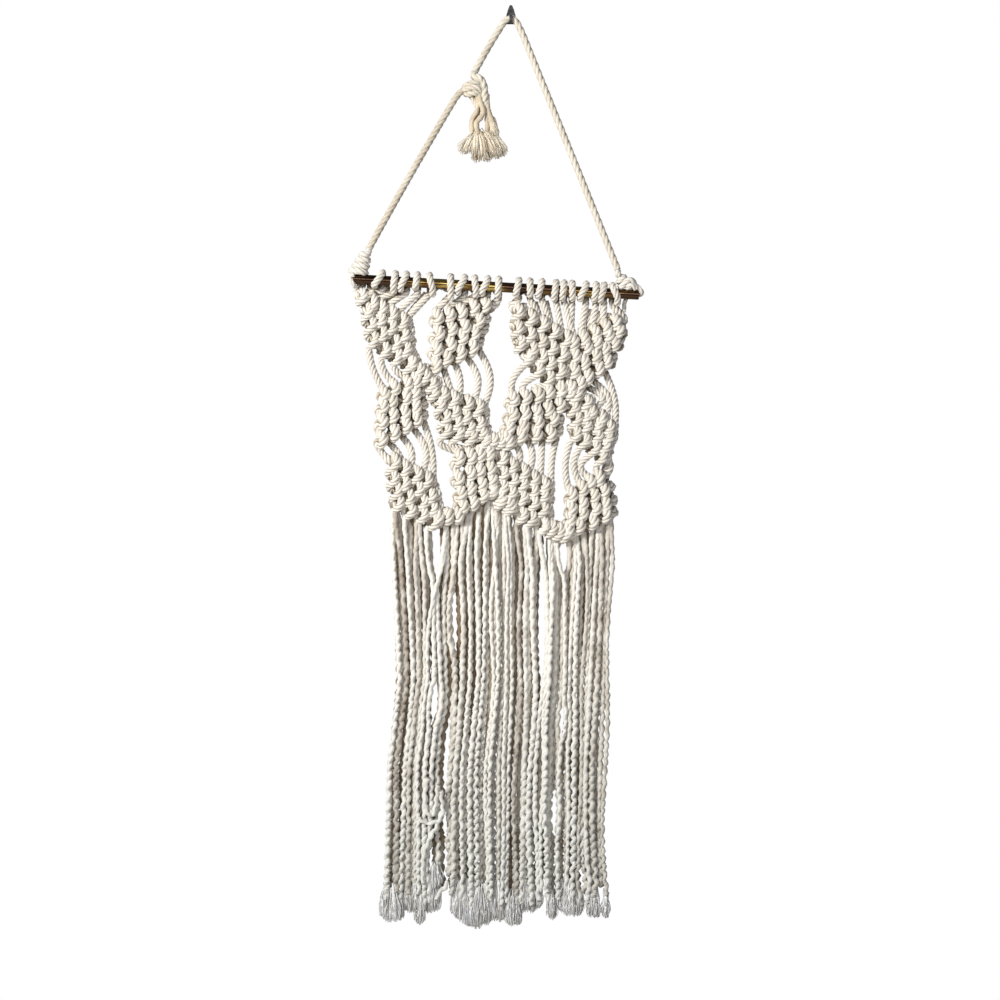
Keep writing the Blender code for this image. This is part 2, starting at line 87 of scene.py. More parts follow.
camera_data = bpy.data.cameras.new("camera")
camera_data.sensor_width = SENSOR
camera_data.lens = SENSOR * VIEW_AWAY / VIEW_WIDTH
camera = placed("camera", camera_data)
camera.location = (VIEW_X * MM, (KNOTS_Y - VIEW_AWAY) * MM, VIEW_Z * MM)
camera.rotation_euler = (math.radians(90), 0, 0)
bpy.context.scene.camera = camera
print("lens", camera_data.lens, "mm")

# %% [markdown]
# ## Sweeping a section along a path
# A laid rope is one closed section, rounded strands with a valley between each two, that turns as it
# travels. The surface is a function of two parameters: how far along the path, and how far round the
# section. Both run over a whole grid at once, so no loop touches a vertex.

# %% Paths
STEP = 1.3                # distance between two rings of a rope
BETWEEN = 24              # points of a curve between two given places
MEASURING = 200           # points of a curve whose length is measured
FEWEST = 4                # rings that even a short tube has


def unit(vectors):
    """Vectors scaled to length 1."""
    return vectors / np.linalg.norm(vectors, axis=-1, keepdims=True)


def angles(count):
    """Angles evenly spaced round a circle, from 0."""
    return np.linspace(0, math.tau, count, endpoint=False)


def run_of(points):
    """Distance along a row of points: the sum of the lengths of the straight pieces so far."""
    return np.concatenate([[0.0], np.cumsum(np.linalg.norm(np.diff(points[:, :3], axis=0), axis=1))])


def rings(points, step):
    """How many points a line takes with one about every step."""
    return max(FEWEST, int(round(run_of(points)[-1] / step)) + 1)


def spaced(points, count):
    """The same line with count points: each column is read at even distances along it."""
    run = run_of(points)
    at = np.linspace(0, run[-1], count)
    return np.column_stack([np.interp(at, run, column) for column in points.T])


def smooth(points, count):
    """Points evenly spaced along a Catmull-Rom curve: a cubic between each two points whose slope at a
    point is half the step from the point before it to the one after."""
    p = np.asarray(points, float)
    p = np.vstack([2 * p[0] - p[1], p, 2 * p[-1] - p[-2]])
    a, b, c, d = (p[k:len(p) - 3 + k, None] for k in range(4))
    t = np.linspace(0, 1, BETWEEN, endpoint=False)[None, :, None]
    fine = 0.5 * (2 * b + (c - a) * t + (2 * a - 5 * b + 4 * c - d) * t**2 + (3 * b - a - 3 * c + d) * t**3)
    return spaced(np.vstack([fine.reshape(-1, 3), p[-2][None]]), count)


def curve(points, step=STEP):
    """A smooth curve through a few points, with rings every step."""
    return smooth(points, rings(smooth(points, MEASURING), step))


def soften(points, spread, step=STEP):
    """A line with its corners rounded: each point becomes the mean of its neighbours, weighted by a bell
    curve as wide as spread. The ends stay. A fourth column, the thickness, is evened out with the rest."""
    fine = spaced(points, rings(points, step / 2))
    reach = int(round(4 * spread / step))
    weights = np.exp(-0.5 * ((np.arange(-reach, reach + 1) * step / 2) / spread) ** 2)
    padded = np.vstack([2 * fine[0] - fine[reach:0:-1], fine, 2 * fine[-1] - fine[-2:-reach - 2:-1]])
    soft = np.column_stack([np.convolve(column, weights / weights.sum(), "valid") for column in padded.T])
    return spaced(soft, rings(soft, step))


def carried(path):
    """Normals and binormals that go along a path without turning about it. Each normal is carried to the
    next point by the smallest turn between the two directions; the angle by which it then misses a simple
    normal there is added up along the whole path and taken out."""
    ahead = unit(np.gradient(path, axis=0))
    axis = np.eye(3)[np.abs(ahead).argmin(axis=1)]
    normal = unit(np.cross(ahead, axis))
    beside = np.cross(ahead, normal)
    here, there = ahead[:-1], ahead[1:]
    share = (normal[:-1] * there).sum(1) / (1 + (here * there).sum(1))
    moved = normal[:-1] - share[:, None] * (here + there)
    missed = np.arctan2((moved * beside[1:]).sum(1), (moved * normal[1:]).sum(1))
    turn = np.concatenate([[0.0], np.cumsum(missed)])[:, None]
    return np.cos(turn) * normal + np.sin(turn) * beside, np.cos(turn) * beside - np.sin(turn) * normal


# %% Surfaces
GRAIN_RADIUS = 3.0        # where the pattern of the yarns has a strand's crest, on every rope
GRAIN_DRAWN_OUT = 6       # how much longer than wide that pattern is
CREASE_CELL, CREASE_SPREAD, CREASE_REACH = 1.5, 2.2, 7      # mm, then cells


def swept(path, outline, turn=0.0, scale=1.0, rough=0.0):
    """A closed tube. Ring i is the path's point plus outline(k) times the carried normal turned by
    the outline's own angle k and by turn(i), with a seeded unevenness; both ends close on their middle
    point. Returns its corners, its four-sided faces, its end faces and each corner's grain: its place in
    the section, brought to one size, and the distance along, divided by how far the grain is drawn out."""
    count, sides = len(path), len(outline)
    normal, beside = carried(path)
    still = angles(sides)[None, :] + np.zeros((count, 1))
    angle = still + np.broadcast_to(turn, count)[:, None]
    reach = outline[None, :] * np.broadcast_to(scale, count)[:, None]
    reach = reach * (1 + rough * np.random.default_rng(count * sides).normal(0, 1, (count, sides)))
    ring = path[:, None] + (reach * np.cos(angle))[..., None] * normal[:, None] \
        + (reach * np.sin(angle))[..., None] * beside[:, None]
    along = np.broadcast_to(run_of(path)[:, None] / GRAIN_DRAWN_OUT, (count, sides))
    share = outline[None, :] / outline.max() * GRAIN_RADIUS
    grain = np.stack([share * np.cos(still), share * np.sin(still), along], axis=-1)
    corners = np.vstack([ring.reshape(-1, 3), path[:1], path[-1:]])
    grains = np.vstack([grain.reshape(-1, 3), [[0, 0, 0]], [[0, 0, along[-1, 0]]]])
    k, after = np.arange(sides), np.roll(np.arange(sides), -1)
    ring_starts = np.arange(count - 1)[:, None] * sides
    a, b = (ring_starts + k).ravel(), (ring_starts + after).ravel()
    quads = np.column_stack([a, b, b + sides, a + sides])
    last = (count - 1) * sides
    caps = np.vstack([np.column_stack([after, k, np.full(sides, count * sides)]),
                      np.column_stack([last + k, last + after, np.full(sides, count * sides + 1)])])
    return corners, quads, caps, grains


def creases(corners):
    """How deep each corner lies under the surface around it. Cells across x and z keep their front-most y; a
    bell curve evens them out to a soft envelope, and another is made of the backmost. The depth is the
    distance to the nearer envelope. The materials paint shade into the creases by it."""
    from_corner = corners[:, ::2] - corners[:, ::2].min(axis=0)
    place = np.floor(from_corner / CREASE_CELL).astype(int) + CREASE_REACH
    bell = np.exp(-0.5 * (np.arange(-CREASE_REACH, CREASE_REACH + 1) / CREASE_SPREAD) ** 2)

    def even(grid):
        across = np.apply_along_axis(np.convolve, 0, grid, bell, "same")
        return np.apply_along_axis(np.convolve, 1, across, bell, "same")

    depths = []
    for side in (1, -1):
        nearest = np.full(place.max(axis=0) + 1 + CREASE_REACH, np.inf)
        np.minimum.at(nearest, tuple(place.T), side * corners[:, 1])
        known = np.isfinite(nearest)
        envelope = even(np.where(known, nearest, 0.0)) / np.maximum(even(known.astype(float)), 1e-6)
        depths.append(side * corners[:, 1] - envelope[tuple(place.T)])
    return np.minimum(*depths)


def piece(name, parts, material):
    """One mesh object from many parts, set into the mesh as whole arrays, riding on the frame. A part is its
    corners, four-sided faces, end faces, grain and tone, for all of it or for each corner."""
    shifts = np.cumsum([0] + [len(part[0]) for part in parts])[:-1]
    corners, grains = (np.vstack([part[k] for part in parts]) * MM for k in (0, 3))
    quads, caps = (np.vstack([part[k] + shift for part, shift in zip(parts, shifts)]) for k in (1, 2))
    tones = np.concatenate([np.full(len(part[0]), part[4]) for part in parts])
    mesh = bpy.data.meshes.new(name)
    mesh.vertices.add(len(corners))
    mesh.vertices.foreach_set("co", corners.ravel())
    mesh.loops.add(quads.size + caps.size)
    mesh.loops.foreach_set("vertex_index", np.concatenate([quads.ravel(), caps.ravel()]))
    mesh.polygons.add(len(quads) + len(caps))
    starts = np.concatenate([np.arange(len(quads)) * 4, quads.size + np.arange(len(caps)) * 3])
    mesh.polygons.foreach_set("loop_start", starts)
    mesh.update(calc_edges=True)
    mesh.validate()
    mesh.polygons.foreach_set("use_smooth", np.ones(len(mesh.polygons), bool))
    mesh.attributes.new("grain", "FLOAT_VECTOR", "POINT").data.foreach_set("vector", grains.ravel())
    mesh.attributes.new("tone", "FLOAT", "POINT").data.foreach_set("value", tones)
    # Each corner's depth in a crease, from which the materials paint shade.
    mesh.attributes.new("crease", "FLOAT", "POINT").data.foreach_set("value", creases(corners / MM))
    made = placed(name, mesh)
    mesh.materials.append(material)
    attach(made, "root")
    print(f"{name}: {2 * len(quads) + len(caps)} triangles")
    return made


# %% Rope
ROPE_RADIUS = 3.15        # a quarter-inch rope
CREST_RADIUS = 3.45       # to the strands' crests, which gives the hanger that mean radius
RUN_LAY_LEFT, RUN_LAY_RIGHT = 20.0, 23.2    # length in which a strand goes once round, in the hanger
PANEL_LAY = 20.0          # the knotted rope has four strands, so one shows every 5 mm
HANGER_STRANDS, PANEL_STRANDS = 3, 4
# By the number of strands: how far out the valleys between them lie, in radii, and the section's corners.
VALLEYS = {HANGER_STRANDS: 0.76, PANEL_STRANDS: 0.71}
CORNERS = {HANGER_STRANDS: 18, PANEL_STRANDS: 16}
BROAD = 0.8               # the lower, the broader a strand and the narrower a valley


def laid_section(radius, strands):
    """Reach of a laid section by angle: valley plus the rest times |cos(half the strands x angle)| to a
    power under one. Every valley falls on a corner."""
    valley = VALLEYS[strands]
    lobes = np.abs(np.cos(strands / 2 * angles(CORNERS[strands]))) ** BROAD
    return radius * (valley + (1 - valley) * lobes)


def rope(path, radius=ROPE_RADIUS, start=0.0, tone=0.5, lay=PANEL_LAY, strands=PANEL_STRANDS):
    """A laid rope along a path: the section turns right-handed, once in each lay. The path may have its
    thickness, as a share of the radius, in a fourth column."""
    turn = math.tau * (start + run_of(path) / lay)
    thick = path[:, 3] if path.shape[1] > 3 else 1.0
    return (*swept(path[:, :3], laid_section(radius, strands), turn, thick), tone)


print("rope", 2 * ROPE_RADIUS, "mm thick, a strand shows every", PANEL_LAY / PANEL_STRANDS, "mm")

# %% [markdown]
# ## Materials
# The rope is undyed cotton, spun and laid but not polished: matt, a little hairy and cream where the light
# falls on it. Its material also paints shade: beige in the valleys between the strands and brown deep
# between the knots. The hanger, which hands have held, is darker than the panel, and the fringe is greyer
# towards its ends. The rod is brass tube gone brown with age, rubbed bright in places. The hook is blackened
# steel. Each is one node graph, and one helper adds a node with its settings.


# %% Node helper and colours
def linear(code):
    """sRGB hex colour to linear: a channel over 0.04 is ((c + 0.055) / 1.055) to the power 2.4."""
    channels = [int(code[k:k + 2], 16) / 255 for k in (1, 3, 5)]
    return tuple(c / 12.92 if c <= 0.04045 else ((c + 0.055) / 1.055) ** 2.4 for c in channels) + (1.0,)


def node(tree, kind, inputs=None, **settings):
    """Adds a shader node, sets its properties, and fills its inputs with values or links."""
    made = tree.nodes.new("ShaderNode" + kind)
    for key, value in settings.items():
        setattr(made, key, value)
    for key, value in (inputs or {}).items():
        if isinstance(value, bpy.types.NodeSocket):
            tree.links.new(value, made.inputs[key])
        else:
            made.inputs[key].default_value = value
    return made


def ramp(tree, factor, stops):
    """A colour ramp with its stops, a list of (place, hex colour)."""
    made = node(tree, "ValToRGB", {"Fac": factor})
    while len(made.color_ramp.elements) < len(stops):
        made.color_ramp.elements.new(0.5)
    for element, (place, code) in zip(made.color_ramp.elements, stops):
        element.position = place
        element.color = linear(code)
    return made.outputs["Color"]


def multiplied(tree, colour, by, amount):
    """One colour multiplied by another, by an amount from 0 to 1."""
    made = node(tree, "Mix", {0: amount, 6: colour, 7: by}, data_type="RGBA", blend_type="MULTIPLY")
    return made.outputs[2]        # the colour's socket; the first two are for other kinds of data


def shader_of(name):
    """A new material, its tree and its shader."""
    made = bpy.data.materials.new(name)
    made.use_nodes = True
    return made, made.node_tree, made.node_tree.nodes["Principled BSDF"]


# %% Cotton rope
YARN = 1.1                # thickness of the yarns that a strand is spun from
BLOTCH = 18.0             # the undyed cotton's colour wanders over this distance
FUZZ_HIGH = 0.5           # how high the yarns and the hairs stand
YARNS_SHOW, VALLEY_SHADE_SHOWS = 0.35, 0.85     # from 0, not at all, to 1
CREST_FROM, CREST_TO = 2.1, 2.8       # reach in the grain at which a valley's painted shade is darkest, and where it ends
CREASE_FROM, CREASE_TO = 1.5, 8.5     # depth at which the painted shade in a crease starts and is darkest
GREY_FROM, GREY_TO = -620.0, -920.0   # heights at which the fringe starts to turn grey and is greyest
YARN_STOPS = [(0.3, "#d9cfbf"), (0.6, "#ffffff")]
# Colours of the painted shade in the valleys between strands, and in the creases between knots.
VALLEY_SHADE_STOPS = [(0.0, "#7c705e"), (0.5, "#f1ede5"), (1.0, "#ffffff")]
CREASE_SHADE_STOPS = [(0.0, "#ffffff"), (0.5, "#b5a996"), (1.0, "#6f604c")]


def cotton(name, light, dark, shaded, grey, hair, relief=0.6):
    """Undyed cotton. Wandering tones and each rope's own tone give the unevenness of undyed fibre, and low
    tones paint shade on the plies that hang behind; streaks along the strand are its yarns, and fine noise,
    as wide as a hair, is the fuzz that scatters the light.
    Painted shade makes the valleys between the strands and the deep creases between the knots browner. A
    grey, where there is one, is multiplied in towards the bottom."""
    made, tree, shader = shader_of(name)
    place = node(tree, "TexCoord").outputs["Object"]
    grain = node(tree, "Attribute", attribute_name="grain").outputs["Vector"]
    tone = node(tree, "Attribute", attribute_name="tone").outputs["Fac"]
    blotch = node(tree, "TexNoise", {"Vector": place, "Scale": 1000 / BLOTCH, "Detail": 3.0})
    mixed = node(tree, "Math", {0: blotch.outputs["Fac"], 1: tone}, operation="ADD")
    halved = node(tree, "Math", {0: mixed.outputs[0], 1: 0.5}, operation="MULTIPLY")
    base = ramp(tree, halved.outputs[0], [(0.12, shaded), (0.34, dark), (0.52, light)])
    yarns = node(tree, "TexNoise", {"Vector": grain, "Scale": 1000 / YARN, "Detail": 2.0})
    colour = multiplied(tree, base, ramp(tree, yarns.outputs["Fac"], YARN_STOPS), YARNS_SHOW)
    flat = node(tree, "VectorMath", {0: grain, 1: (1.0, 1.0, 0.0)}, operation="MULTIPLY")
    reach = node(tree, "VectorMath", {0: flat.outputs["Vector"]}, operation="LENGTH").outputs["Value"]
    # Painted shade: the valleys between the strands get a darker colour, by how far in from the crest each
    # corner lies.
    crest = node(tree, "MapRange", {"Value": reach, "From Min": CREST_FROM * MM, "From Max": CREST_TO * MM})
    colour = multiplied(tree, colour, ramp(tree, crest.outputs["Result"], VALLEY_SHADE_STOPS), VALLEY_SHADE_SHOWS)
    # Painted shade: the deeper a corner lies in a crease, the browner it is.
    crease_shade = node(tree, "Attribute", attribute_name="crease").outputs["Fac"]
    crease_shade = node(tree, "MapRange", {"Value": crease_shade, "From Min": CREASE_FROM, "From Max": CREASE_TO})
    colour = multiplied(tree, colour, ramp(tree, crease_shade.outputs["Result"], CREASE_SHADE_STOPS), 1.0)
    if grey:
        height = node(tree, "SeparateXYZ", {"Vector": place}).outputs["Z"]
        low = node(tree, "MapRange", {"Value": height, "From Min": GREY_FROM * MM, "From Max": GREY_TO * MM})
        colour = multiplied(tree, colour, linear(grey), low.outputs["Result"])
    tree.links.new(colour, shader.inputs["Base Color"])
    fuzz = node(tree, "TexNoise", {"Vector": place, "Scale": 1000 / hair, "Detail": 4.0})
    height = node(tree, "Math", {0: yarns.outputs["Fac"], 1: fuzz.outputs["Fac"]}, operation="ADD")
    bump = node(tree, "Bump", {"Height": height.outputs[0], "Strength": relief, "Distance": FUZZ_HIGH * MM})
    tree.links.new(bump.outputs["Normal"], shader.inputs["Normal"])
    shader.inputs["Roughness"].default_value = 0.92
    shader.inputs["Specular IOR Level"].default_value = 0.25
    shader.inputs["Sheen Weight"].default_value = 0.25
    shader.inputs["Sheen Roughness"].default_value = 0.5
    return made


# The colours are those of the lightest, the common and the most shaded fibre.
rope_cotton = cotton("undyed_cotton_rope", "#f4f1eb", "#e8e4db", "#c4b9a6", None, 0.8)
hanger_cotton = cotton("handled_cotton_rope", "#ebe6da", "#dad2c3", "#b5a892", None, 0.8)
fringe_cotton = cotton("unlaid_cotton_plies", "#f7f6f2", "#e0dcd5", "#8d7d69", "#e8ecee", 0.9)
fibre_cotton = cotton("frayed_cotton_fibre", "#fefefe", "#e0deda", "#a9a49c", "#f0f3f6", 0.6, 0.3)
tassel_cotton = cotton("opened_rope_end", "#f1ebdc", "#ded2bc", "#a8967d", None, 0.9, 0.2)

# %% [markdown]
# ## The hanger rope
# Two runs of one rope of three strands: a short one from the rod's left end up to the join, and a long one
# from the join over the hook and down to the rod's right end. They carry the hanging's weight, so they are
# straight and taut. Both follow the routes of the solids that they stand for.

# %% Hanger runs
HOOK_FRONT = -5.35        # middle of the rope where it rests on the hook's lip
LEFT_RUN = ((-141.8, -18.3, -238.0), (-122.0, -17.0, -202.0), (-91.0, -15.0, -147.0), (-62.0, -12.5, -97.0),
            (-53.5, -12.0, -83.5), (-46.4, -11.5, -77.3))
RIGHT_RUN = ((-37.0, -10.5, -61.0), (-28.0, -8.0, -44.0), (-19.0, -6.2, -28.0), (-11.0, -5.6, -15.0),
             (-6.0, HOOK_FRONT, -7.6), (0.0, HOOK_FRONT, -4.8), (5.0, HOOK_FRONT, -7.8), (9.0, -5.8, -15.0),
             (13.0, -6.4, -24.0), (25.0, -8.0, -54.0), (65.0, -13.0, -154.0), (106.5, -18.3, -258.5))
left_path = curve(LEFT_RUN)
right_path = curve(RIGHT_RUN)
left_rope = rope(left_path, CREST_RADIUS, tone=0.15, lay=RUN_LAY_LEFT, strands=HANGER_STRANDS)
right_rope = rope(right_path, CREST_RADIUS, tone=0.45, lay=RUN_LAY_RIGHT, strands=HANGER_STRANDS)
hanger_left = piece("hanger_left", [left_rope], hanger_cotton)
hanger_right = piece("hanger_right", [right_rope], hanger_cotton)
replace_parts(hanger_left, "hanger_rope_left")
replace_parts(hanger_right, "hanger_rope_right")
print("runs", round(run_of(left_path)[-1]), round(run_of(right_path)[-1]), "mm")

# %% [markdown]
# ## Knots of the hanger
# At the join the rope's two ends are tied in an overhand knot, and at each end of the rod the rope winds
# round itself and hooks over the end. A coil is a circle that climbs along its axis; the knot's loops are
# smooth curves through a few places.


# %% Coils and loops
def coil(start, end, radii, turns, phase=0.0, depth_share=1.0, steps=24):
    """Points of a winding: from start to end, plus a circle across that line that goes round turns times.
    Its radius runs from the first to the second of radii, and it is flattened in depth by the share."""
    start, end = np.asarray(start, float), np.asarray(end, float)
    share = np.linspace(0, 1, int(steps * turns))[:, None]
    ahead = unit(end - start)
    across = unit(np.cross(ahead, (0, 1, 0)))
    depth = depth_share * np.cross(ahead, across)
    angle = math.tau * (phase + turns * share)
    radius = radii[0] + (radii[1] - radii[0]) * share
    return start + (end - start) * share + radius * (np.cos(angle) * across + np.sin(angle) * depth)


JOIN_LOOPS = (
    # the upper run's end: over to the right, down that side and out below
    ((-37.0, -10.5, -61.0), (-36.5, -14.5, -65.5), (-31.5, -16.5, -67.0), (-27.4, -16.0, -73.5),
     (-26.2, -14.5, -83.0), (-26.0, -13.0, -95.0)),
    # the left run's end: three bands across the knot, each going round behind it
    ((-46.4, -11.5, -77.3), (-45.5, -15.5, -74.5), (-38.0, -18.0, -72.0), (-31.5, -17.5, -70.8),
     (-27.0, -12.0, -72.5), (-29.0, -5.5, -76.0), (-39.0, -5.0, -77.0), (-46.0, -9.5, -78.5),
     (-45.0, -15.0, -78.0), (-38.0, -18.0, -76.6), (-32.0, -17.8, -77.2), (-27.6, -13.0, -80.6),
     (-30.0, -6.0, -82.0), (-39.0, -5.5, -80.5), (-45.0, -9.5, -81.5), (-42.5, -14.0, -82.5),
     (-36.0, -16.5, -82.0), (-31.0, -13.0, -83.0)),
    # its loop on the left, seen under the bands
    ((-43.5, -9.0, -80.0), (-40.0, -11.0, -84.0), (-36.5, -10.5, -89.0), (-34.0, -10.0, -94.0)),
)
JOIN_RADII = (3.9, 3.1, 2.8)
join_parts = [rope(curve(points), radius, start=0.2 * radius, tone=0.45, strands=HANGER_STRANDS)
              for points, radius in zip(JOIN_LOOPS, JOIN_RADII)]
join = piece("join_loops", join_parts, hanger_cotton)
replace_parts(join, "join_knot")

ROD_Y = -18.8
LEFT_TAILS = (
    # the rope's short end, hooked over the rod, and a turn of it behind
    ((-156.0, ROD_Y - 4.0, -264.0), (-160.0, ROD_Y - 4.0, -266.0), (-158.8, ROD_Y - 5.5, -270.0),
     (-156.5, ROD_Y - 3.5, -273.5), (-155.2, ROD_Y + 3.0, -276.5), (-153.5, ROD_Y + 6.5, -284.0),
     (-150.0, ROD_Y + 8.2, -292.0)),
    ((-152.0, ROD_Y + 5.0, -266.0), (-152.5, ROD_Y + 8.2, -272.0), (-152.0, ROD_Y + 6.5, -279.0),
     (-149.5, ROD_Y + 6.8, -285.0), (-145.0, ROD_Y + 8.0, -293.0)),
)
left_coil = coil((-144.8, ROD_Y, -242.5), (-152.3, ROD_Y, -262.0), (4.0, 7.6), 3.4, 0.1, 0.7)
left_knot_path = np.vstack([LEFT_RUN[0], left_coil])
RIGHT_LOBE = ((110.5, ROD_Y - 5.0, -275.5), (113.0, ROD_Y - 7.5, -272.5), (117.6, ROD_Y - 8.0, -269.0),
              (121.8, ROD_Y - 5.5, -271.5), (122.0, ROD_Y, -274.5), (117.0, ROD_Y - 3.0, -276.8),
              (116.0, ROD_Y - 7.0, -276.0), (120.6, ROD_Y - 6.8, -274.5), (124.5, ROD_Y - 4.5, -278.0))
RIGHT_TAIL = ((120.5, ROD_Y - 4.0, -272.5), (125.5, ROD_Y - 4.5, -275.5), (129.2, ROD_Y - 4.0, -279.5),
              (130.2, ROD_Y - 1.5, -282.0), (128.0, ROD_Y + 3.0, -283.5), (121.0, ROD_Y + 8.0, -283.0),
              (114.5, ROD_Y + 8.7, -288.0), (112.8, ROD_Y + 8.7, -300.0))
right_coil = coil((109.6, ROD_Y, -263.5), (111.6, ROD_Y, -276.3), (3.2, 4.4), 1.9, 0.55)
right_knot_path = np.vstack([RIGHT_RUN[-1], right_coil, curve(RIGHT_LOBE, 2.0)])
COIL_ROUNDING = 1.4
left_parts = [rope(soften(left_knot_path, COIL_ROUNDING), radius=3.3, strands=HANGER_STRANDS)]
left_parts += [rope(curve(tail), radius=2.2, strands=HANGER_STRANDS) for tail in LEFT_TAILS]
right_parts = [rope(soften(right_knot_path, COIL_ROUNDING), radius=3.1, strands=HANGER_STRANDS),
               rope(curve(RIGHT_TAIL), radius=2.3, strands=HANGER_STRANDS)]
left_knot = piece("left_rod_knot", left_parts, rope_cotton)
right_knot = piece("right_rod_knot", right_parts, rope_cotton)
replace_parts(left_knot, "left_end_knot")
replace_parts(right_knot, "right_end_knot")

# %% [markdown]
# ## The knotted strips
# Twenty rope ends hang from the rod, five to a strip. Each row of knots is a slanting bar: the outermost
# rope crosses the strip as a leader and every other rope winds round it in turn, twice over its front.
# The leader ends up on the other side, so the next row has a new one. A rope's route is the whole
# thing in order: over the rod, down, a winding in each row or a run as its leader, and loose stretches
# between the groups of four rows. Its surface is one sweep from the rod to the fringe.

# %% Places of the wraps and rows
ROD_MIDDLE_X, ROD_MIDDLE_Z, ROD_TILT = -15.8, -275.6, -3.15
WRAPS = (
    # top_x, bottom_x, bottom_z: where each rope end crosses the rod's top, and the lowest point of its wrap
    (-128, -136, -277), (-115, -117, -284), (-104, -110, -282), (-93, -95, -279), (-81, -78, -287),
    (-60, -60, -291), (-46, -53, -285), (-36, -35, -288), (-23, -29, -286), (-12, -13, -288),
    (8, 5, -287), (19, 19, -287), (31, 27, -288), (45, 43, -292), (53, 51, -291),
    (61, 61, -291), (75, 69, -291), (85, 83, -292), (93, 89, -293), (101, 106, -296),
)
ENDS = 5                  # rope ends in a strip
ROWS = (
    # strip, then x and z of the row's first knot, by the side its leader comes from, and of its last
    (0, -148, -286, -108, -309), (0, -142, -301, -105, -324),
    (0, -139, -315, -103, -338), (0, -136, -329, -100, -352),
    (0, -94, -368, -125, -381), (0, -95, -383, -126, -395),
    (0, -94, -396, -127, -410), (0, -93, -407, -128, -428),
    (0, -116, -451, -83, -469), (0, -115, -466, -80, -484),
    (0, -113, -480, -77, -497), (0, -111, -492, -74, -509),
    (1, -25, -295, -72, -307), (1, -31, -309, -73, -323),
    (1, -35, -322, -74, -338), (1, -39, -335, -74, -354),
    (1, -77, -379, -32, -396), (1, -69, -394, -31, -411),
    (1, -65, -407, -29, -422), (1, -63, -419, -27, -429),
    (1, -20, -441, -51, -448), (1, -19, -456, -51, -467),
    (1, -18, -469, -49, -483), (1, -17, -479, -46, -497),
    (2, 8, -299, 55, -329), (2, 8, -316, 53, -344),
    (2, 11, -332, 51, -359), (2, 18, -348, 49, -377),
    (2, 62, -378, 3, -389), (2, 50, -395, 2, -404),
    (2, 43, -409, -1, -416), (2, 40, -421, -4, -426),
    (2, -8, -448, 35, -474), (2, -8, -462, 34, -484),
    (2, -8, -475, 33, -497), (2, -8, -489, 33, -513),
    (3, 106, -312, 64, -332), (3, 107, -320, 65, -343),
    (3, 104, -332, 64, -359), (3, 97, -350, 60, -380),
    (3, 66, -384, 99, -416), (3, 66, -395, 97, -424),
    (3, 66, -407, 95, -434), (3, 66, -421, 92, -444),
    (3, 89, -466, 62, -484), (3, 94, -479, 61, -498),
    (3, 96, -492, 60, -509), (3, 96, -504, 57, -519),
)
ROWS_IN_GROUP = 4
BOWS = {
    # (strip, stretch between two groups): how far each of the five loose ropes bows to the right
    (0, 1): (-3, -3, -3, -2, 0), (0, 2): (-1, 1, 4, 7, 3),
    (1, 1): (0, 0, 3, 7, 8), (1, 2): (-8, -9, 0, 0, 0),
    (2, 1): (-5, -5, -6, -3, -2), (2, 2): (0, 3, 3, 0, -2),
    (3, 1): (0, 3, 10, 7, 4), (3, 2): (-4, -6, -8, 0, 3),
}
PANEL_Y = -10.6           # middle of the leaders
PANEL_ROPE = 3.05         # radius of the rope, which the knots pull a little thinner
KNOT_WIDTH = 12.9         # two passes side by side
ROW_PACKING = 0.76        # height of a knot between its neighbours, as a share of a loose knot's
FILLING_TOP = 8.3         # height that a filling hitch stays below, before the packing
LEADER_THICK, LEADER_BACK = 1.75, 0.8     # the leader fills the holes behind its knots
LEADER_BEFORE, LEADER_AFTER = 8.5, 7.5    # how far it is seen past the first and the last knot
KNOT_OFF, TURN_OFF = 0.8, 0.45            # how far a hand leaves a knot and a turn off its place
# A hitch from its entry to its exit, one row per place: across, towards the viewer, up, and how thick the
# rope is there, as it opens where it bends. The leader runs through the origin.
RIGHT_HITCH = np.array([
    (6.2, 2.2, 7.5, 1.12), (6.8, 3.8, 3.5, 1.08), (6.9, 4.2, 0.0, 1.0), (5.6, 4.0, -3.8, 1.0),
    (2.4, 2.5, -6.6, 1.1), (-1.0, -1.5, -7.0, 1.2), (-3.2, -5.0, -3.0, 1.3), (-3.2, -5.8, 2.0, 1.3),
    (-2.8, -4.0, 6.8, 1.15), (-1.6, 0.5, 10.2, 1.05), (-0.6, 5.0, 10.6, 1.1), (0.6, 7.4, 7.0, 1.3),
    (2.2, 8.4, 3.0, 1.42), (2.2, 8.8, -1.0, 1.42), (0.4, 8.8, -4.6, 1.35), (-2.6, 7.6, -7.4, 1.25),
    (-5.6, 4.8, -10.0, 1.1)])
LEFT_HITCH = np.array([
    (-3.4, -1.0, 10.0, 1.3), (-2.4, 3.6, 9.4, 1.5), (-0.6, 6.6, 6.6, 1.68), (1.0, 8.2, 3.2, 1.75),
    (1.6, 8.8, -0.2, 1.68), (0.9, 8.6, -3.4, 1.5), (-0.8, 7.2, -6.2, 1.35), (-2.6, 3.6, -8.2, 1.2),
    (-2.4, -1.5, -9.0, 1.15), (-1.0, -5.5, -6.0, 1.3), (0.6, -6.8, 1.0, 1.4), (3.2, -6.4, 4.5, 1.4),
    (5.4, -5.6, 0.5, 1.3), (6.2, -4.0, -4.0, 1.2)])
TUCKED_IN = ((1.0, -6.5, 2.0, 1.0),)      # where a filling hitch starts, behind
TUCKED = ((-1.0, -6.5, -5.0, 1.0), (2.0, -6.5, 0.0, 1.0))      # where it hides its end
